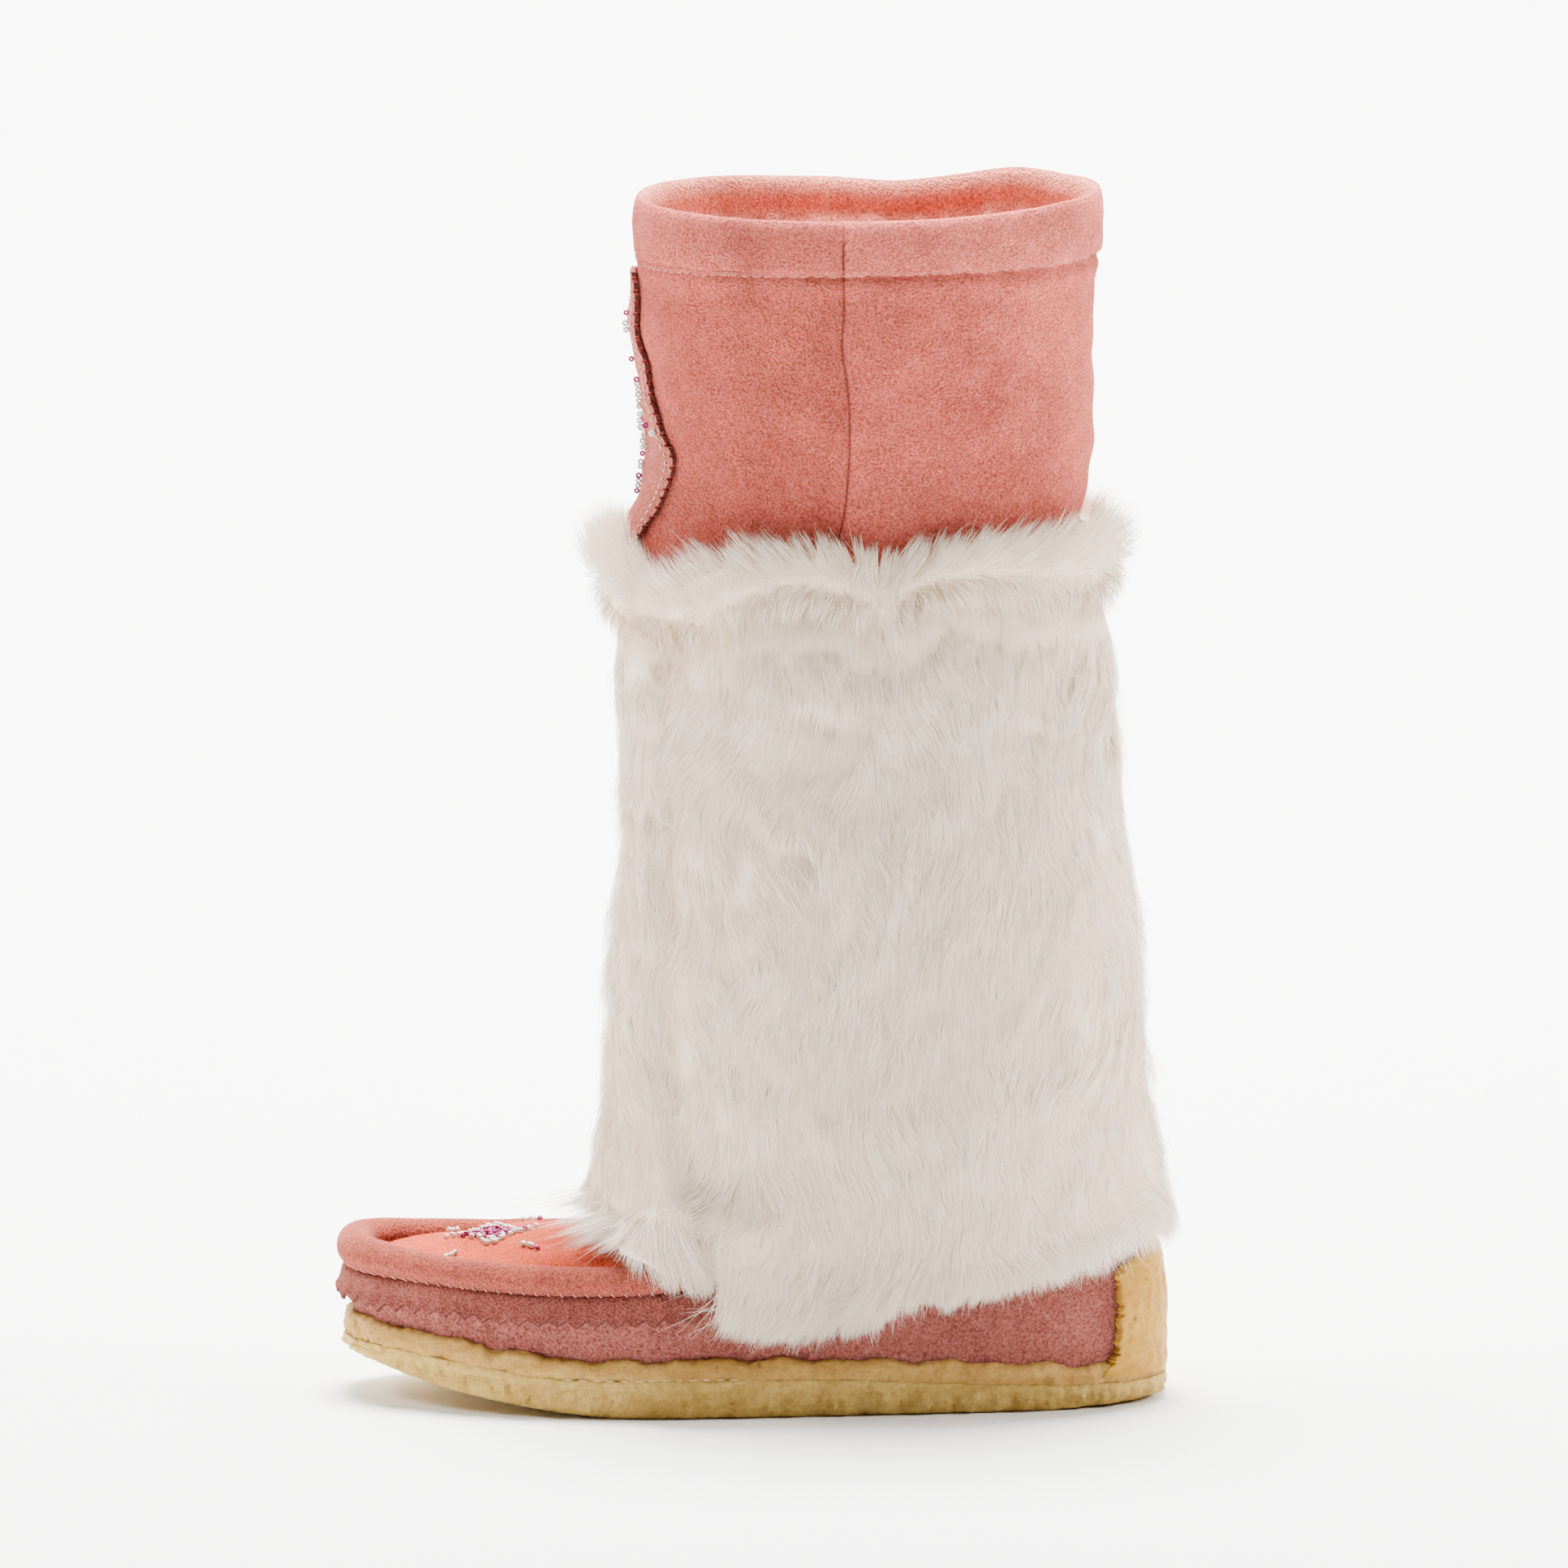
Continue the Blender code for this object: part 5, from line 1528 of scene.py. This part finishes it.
# %% Pelts
def fur_materials():
    """Pelt and hair: warm white, with painted shade making them creamier in the hollows; the pelt's streaks
    follow the comb.
    """
    pelt, tree, shader = new_material("fur_pelt", {"Roughness": 0.9, "Specular IOR Level": 0.15})
    place = add_node(tree, "UVMap")
    place.uv_map = "place"
    stretch = add_node(tree, "Mapping", {"Vector": place.outputs["UV"], "Scale": (1, 0.05, 1)})
    streaks = add_node(tree, "TexNoise", {"Vector": stretch.outputs["Vector"], "Scale": 1900, "Detail": 3})
    fine = streaks.outputs["Fac"]
    color = ramp(tree, fine, (0.82, 0.62, 0.45), (0.96, 0.82, 0.68), 0.34, 0.62)
    # painted shade: the pelt is mixed towards a darker cream where the fold, the seams and the partings leave
    # hollows
    color = mixed(tree, color, (0.55, 0.38, 0.22), attribute(tree, "hollow"))
    tree.links.new(color, shader.inputs["Base Color"])
    bumped(tree, shader, [(fine, 0.5, 0.0006)])
    hair, tree, shader = new_material("fur_hair", {"Roughness": 0.55, "Specular IOR Level": 0.25})
    place = add_node(tree, "UVMap")
    place.uv_map = "place"
    split = add_node(tree, "SeparateXYZ", {0: place.outputs["UV"]})
    white = ramp(tree, split.outputs["X"], (0.64, 0.45, 0.27), (0.97, 0.845, 0.70), 0.0, 0.75)
    root = ramp(tree, split.outputs["Y"], (0.84, 0.74, 0.62), (1.0, 1.0, 1.0), 0.0, 0.6)
    tree.links.new(scaled(tree, white, root), shader.inputs["Base Color"])
    return pelt, hair


pelt_material, hair_material = fur_materials()


def rounded_ends(height, hem, top):
    """0 at the pelt's two edges and 1 a few millimetres inside, as a quarter circle."""
    near = np.clip(np.minimum((top - height) / 0.007, (height - hem) / 0.013), 0, 1)
    return np.sqrt(near * (2 - near))


def make_pelt(panel, rows, count):
    """Slab of fur whose face keeps a little under the coat's depth."""
    across = np.linspace(-1, 1, count) if panel == "front" else np.linspace(0, 1, count)
    eased = 0.5 - 0.5 * np.cos(math.pi * np.linspace(0.015, 0.995, rows))
    up = 0.7 * np.linspace(0.012, 0.992, rows) + 0.3 * eased
    turn, height, hem, top = np.broadcast_arrays(*panel_place(panel, across[None, :], up[:, None]))
    if panel == "inner":
        turn, height, hem, top = (values[:, ::-1] for values in (turn, height, hem, top))
    depth = coat(turn, height) * rounded_ends(height, hem, top)
    outer = fur_point(turn, height, 0.72 * depth)
    inner = fur_point(turn, height, 0.0 * turn)
    place = np.stack([comb(turn, height), height], -1)
    piece = slab_piece("pelt_" + panel, outer, inner, pelt_material, place)
    # painted shade for the hollows, read by the pelt's material
    painted_hollow_shade = np.clip(1.1 * (1 - hollows(turn, height)), 0, 0.6)
    point_values(piece, "hollow", np.concatenate([painted_hollow_shade.ravel()] * 2))
    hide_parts("fur_" + panel)
    return piece


pelts = [make_pelt("front", 100, 26), make_pelt("outer", 120, 76), make_pelt("inner", 110, 64)]
print("pelt triangles", [2 * len(piece.data.polygons) for piece in pelts])

# %% [markdown]
# A hair is a narrow blade with a root, a middle and a tip: three triangles, about an eighth of a
# millimetre wide. Roots are sown at random. Hairs near each other belong to one lock, chosen from
# a jittered grid, and their tips are drawn together a little. A few in a hundred stray, which
# gives the soft outline. The blades are lit as parts of the coat, so they carry the coat's own
# normal, mixed with a little of theirs, as a shop's fur cards do.

# %% Hairs
LOCK = 0.0048


def hashed(i, j, seed):
    """Fraction of a large sine: the same random number for the same cell."""
    value = np.sin(i * 127.1 + j * 311.7 + seed * 74.7) * 43758.5453
    return value - np.floor(value)


def lock_of(turn, height, seed):
    """Nearest jittered grid point: its place and three random numbers of its own."""
    u, v = turn * AROUND / LOCK, height / (2.2 * LOCK)
    best = np.full(turn.shape, 1e9)
    result = [np.zeros(turn.shape) for _ in range(5)]
    for du in (-1, 0, 1):
        for dv in (-1, 0, 1):
            i, j = np.floor(u) + du, np.floor(v) + dv
            noise = [hashed(i, j, seed + k) for k in range(5)]
            cu, cv = i + noise[0], j + noise[1]
            far = (cu - u) ** 2 + (cv - v) ** 2
            closer = far < best
            best = np.where(closer, far, best)
            for store, value in enumerate((cu * LOCK / AROUND, cv * 2.2 * LOCK, *noise[2:])):
                result[store] = np.where(closer, value, result[store])
    return result


def hair_paths(panel, across, up, rng):
    """Root, middle and tip of each hair as turns, heights and lifts, with its shade."""
    count = across.size
    turn, height, hem, top = panel_place(panel, across, up)
    low_edge = np.clip((height - hem) / 0.014, 0, 1)
    height = np.minimum(height + 0.0035 * (1 - low_edge), top - 0.0004)
    lock_turn, lock_height, pick_a, pick_b, pick_c = lock_of(turn, height, 3)
    depth = coat(turn, height)
    fold = fold_height(turn)
    cuff = np.clip((height - fold) / (top - fold), 0, 1) * (height > fold)
    stand = ease((cuff - 0.30) / 0.45)
    over = (cuff > 0) * (1 - stand)
    stray = rng.uniform(0, 1, count) < 0.05
    side = np.sign(turn)
    angle = sway(turn, height) + 0.22 * (pick_a - 0.5) + rng.normal(0, 0.07, count)
    spread = side * 0.55 * np.tanh((np.abs(turn) - 0.222) / 0.05) + 0.7 * (pick_a - 0.5)
    angle = angle + stand * (spread - angle) + stray * rng.normal(0, 0.45, count)
    length = (0.0150 + 0.004 * (pick_b - 0.5)) * rng.uniform(0.70, 1.15, count)
    length = length * (1 - 0.38 * stand) * (1 - 0.30 * over) * (1 - 0.40 * (1 - low_edge))
    length = length * (1 + 0.30 * stray)
    slope = 1 / np.sqrt(1 + ground_slope(turn, height) ** 2)
    around = length / (TURN * ground_distance(turn, height))
    full = depth * (0.92 + 0.16 * (pick_c - 0.5)) * rng.uniform(0.86, 1.10, count) * (1 + 0.18 * stray)
    full = full * (0.5 + 0.5 * low_edge)
    root = depth * np.where(stand > 0.3, rng.uniform(0.15, 0.95, count), rng.uniform(0.50, 0.70, count))
    root = root * (0.35 + 0.65 * rounded_ends(height, hem, top))
    out = 0.55 * root / depth + 0.10 + rng.normal(0, 0.08, count)
    turns, heights, lifts = [], [], []
    for share in (0.0, 0.5, 1.0):
        fall = -np.cos(angle) * (1 - stand) + stand * np.sqrt(np.clip(1 - out ** 2, 0.2, 1))
        h = height + length * slope * fall * share
        t = turn + around * np.sin(angle) * share
        pull = 0.38 * (1 - stray) * share ** 1.5
        t = t + pull * (lock_turn - turn)
        h = h + 0.5 * pull * (lock_height - height)
        down = root + (full - root) * min(1.0, 1.7 * share) - 0.10 * full * (share == 1.0)
        down = down + over * 0.0018 * share
        raised = root + length * np.maximum(out, 0) * share
        turns.append(t)
        heights.append(np.maximum(h, 0.0015))
        lifts.append(down * (1 - stand) + raised * stand)
    # painted shade: hairs in the fold, seams and partings get a darker, creamier shade; the rest of the
    # spread is random tone
    dim = np.clip(1 - hollows(turn, height - 0.002), 0, 1)
    shade = np.clip(0.80 + 0.20 * (pick_b - 0.5) + rng.normal(0, 0.08, count) - 0.8 * dim, 0, 1)
    return (np.stack(values, 1) for values in (turns, heights, lifts)), shade, turn, height


def make_hairs(name, panel, count, low, high, seed):
    """Joined mesh of blades for a stretch of a panel between two shares of its height."""
    rng = np.random.default_rng(seed)
    across = rng.uniform(-1, 1, count) if panel == "front" else rng.uniform(0, 1, count)
    up = rng.uniform(low, high, count)
    edge = rng.uniform(0, 1, count) < 0.10
    if high == 1.0:
        up = np.where(edge, 1 - 0.05 * rng.uniform(0, 1, count), up)
    near_hem = rng.uniform(0, 1, count) < 0.20
    if low == 0.0:
        up = np.where(near_hem, 0.06 * rng.uniform(0, 1, count), up)
    (turns, heights, lifts), shade, turn, height = hair_paths(panel, across, up, rng)
    path = fur_point(turns, heights, lifts)
    normal = coat_normal(turn, height)
    tangent = np.stack([path[:, 1] - path[:, 0], path[:, 2] - path[:, 0]], 1)
    facing = normal[:, None] + rng.normal(0, 0.40, (count, 1, 3))
    width = unit(np.cross(tangent, facing), 1e-12)
    half = rng.uniform(0.00005, 0.00009, count)[:, None]
    blade = np.stack([
        path[:, 0] - half * width[:, 0], path[:, 0] + half * width[:, 0],
        path[:, 1] + 0.9 * half * width[:, 1], path[:, 1] - 0.9 * half * width[:, 1], path[:, 2],
    ], 1)
    start = (np.arange(count) * 5)[:, None]
    faces = [start + np.array([[0, 1, 2, 3]]), start + np.array([[3, 2, 4]])]
    place = np.stack([np.repeat(shade[:, None], 5, 1), np.tile([0, 0, 0.5, 0.5, 1.0], (count, 1))], -1)
    piece = mesh_piece(name, blade, faces, hair_material, place)
    own = unit(np.cross(width[:, 1], path[:, 2] - path[:, 0]), 1e-12)
    lit = unit(normal + 0.35 * own + rng.normal(0, 0.10, (count, 3)))
    piece.data.normals_split_custom_set_from_vertices(np.repeat(lit, 5, 0).tolist())
    return piece


HAIRS = [
    # name, panel, count, low, high, seed
    ("hair_front", "front", 36000, 0.0, 1.0, 121),
    ("hair_outer_low", "outer", 46000, 0.0, 0.5, 122),
    ("hair_outer_high", "outer", 50000, 0.5, 1.0, 123),
    ("hair_inner_low", "inner", 36000, 0.0, 0.5, 124),
    ("hair_inner_high", "inner", 38000, 0.5, 1.0, 125),
]
for row in HAIRS:
    hairs = make_hairs(*row)
    print(hairs.name, row[2], "hairs")

# %% [markdown]
# The picture is a plain product shot: the boot stands on a pale floor that runs into a pale
# background. Two large soft lights stand at the upper left and right, a small one above gives the
# short shadow on the floor, and one lights the wall behind, with a white room around. The camera
# is far away with a long lens, level with the leg and looking a little down.

# %% Stage, light and camera
def make_stage():
    """Floor that sweeps up into a wall, one curved sheet, clear when seen from its back."""
    turn = np.linspace(0, math.pi / 2, 24)
    y = np.concatenate([[-3.0, 0.9], 0.9 + 0.8 * np.sin(turn), [1.7]])
    z = np.concatenate([[0.0, 0.0], 0.8 - 0.8 * np.cos(turn), [4.0]])
    x = np.array([-4.0, 4.0])
    points = np.stack([np.repeat(x, y.size), np.tile(y, 2), np.tile(z, 2)], -1)
    j = np.arange(y.size - 1)
    quads = np.stack([j, j + y.size, j + y.size + 1, j + 1], -1)
    material, tree, shader = new_material("studio_paper", {
        "Roughness": 0.9, "Specular IOR Level": 0.25, "Base Color": (0.95, 0.945, 0.935, 1)})
    back = add_node(tree, "NewGeometry").outputs["Backfacing"]
    clear = add_node(tree, "BsdfTransparent").outputs[0]
    mix = add_node(tree, "MixShader", {0: back, 1: shader.outputs[0], 2: clear})
    output = next(node for node in tree.nodes if node.bl_idname == "ShaderNodeOutputMaterial")
    tree.links.new(mix.outputs[0], output.inputs["Surface"])
    mesh = bpy.data.meshes.new("studio_paper")
    mesh.from_pydata(points.tolist(), [], quads.tolist())
    mesh.materials.append(material)
    mesh.shade_smooth()
    paper = bpy.data.objects.new("studio_paper", mesh)
    bpy.context.scene.collection.objects.link(paper)


def add_light(name, place, target, size, power, color):
    light = bpy.data.lights.new(name, "AREA")
    light.shape = "DISK"
    light.size = size
    light.energy = power
    light.color = color
    thing = bpy.data.objects.new(name, light)
    thing.location = place
    thing.rotation_euler = (Vector(target) - Vector(place)).to_track_quat("-Z", "Y").to_euler()
    bpy.context.scene.collection.objects.link(thing)


def make_camera():
    """Long lens at the photo's height: ten degrees above level, looking along +Y."""
    aim, distance, slope = Vector((0.0096, 0.0, 0.203)), 14.0, math.radians(10)
    camera = bpy.data.cameras.new("camera")
    camera.lens = 980
    camera.sensor_width = 36
    camera.clip_end = 40
    thing = bpy.data.objects.new("camera", camera)
    thing.location = aim + distance * Vector((0, -math.cos(slope), math.sin(slope)))
    thing.rotation_euler = (aim - thing.location).to_track_quat("-Z", "Y").to_euler()
    bpy.context.scene.collection.objects.link(thing)
    bpy.context.scene.camera = thing


make_stage()
LIGHTS = [
    # name, place, target, size, power, color
    ("left_light", (-1.75, -0.25, 1.75), (0, 0, 0.2), 0.9, 46, (1.0, 0.98, 0.95)),
    ("right_light", (1.95, -0.30, 1.5), (0, 0, 0.2), 0.9, 54, (1.0, 0.98, 0.95)),
    ("top_light", (0.0, 0.42, 2.3), (0, 0, 0.1), 0.5, 36, (1.0, 0.99, 0.97)),
    ("wall_light", (0.0, 0.5, 2.6), (0, 1.7, 0.8), 1.4, 560, (1.0, 1.0, 1.0)),
]
for row in LIGHTS:
    add_light(*row)
world = bpy.data.worlds.new("white_room")
world.use_nodes = True
world.node_tree.nodes["Background"].inputs["Color"].default_value = (1.0, 0.99, 0.975, 1)
world.node_tree.nodes["Background"].inputs["Strength"].default_value = 0.04
bpy.context.scene.world = world
make_camera()
print("stage, lights and camera set")
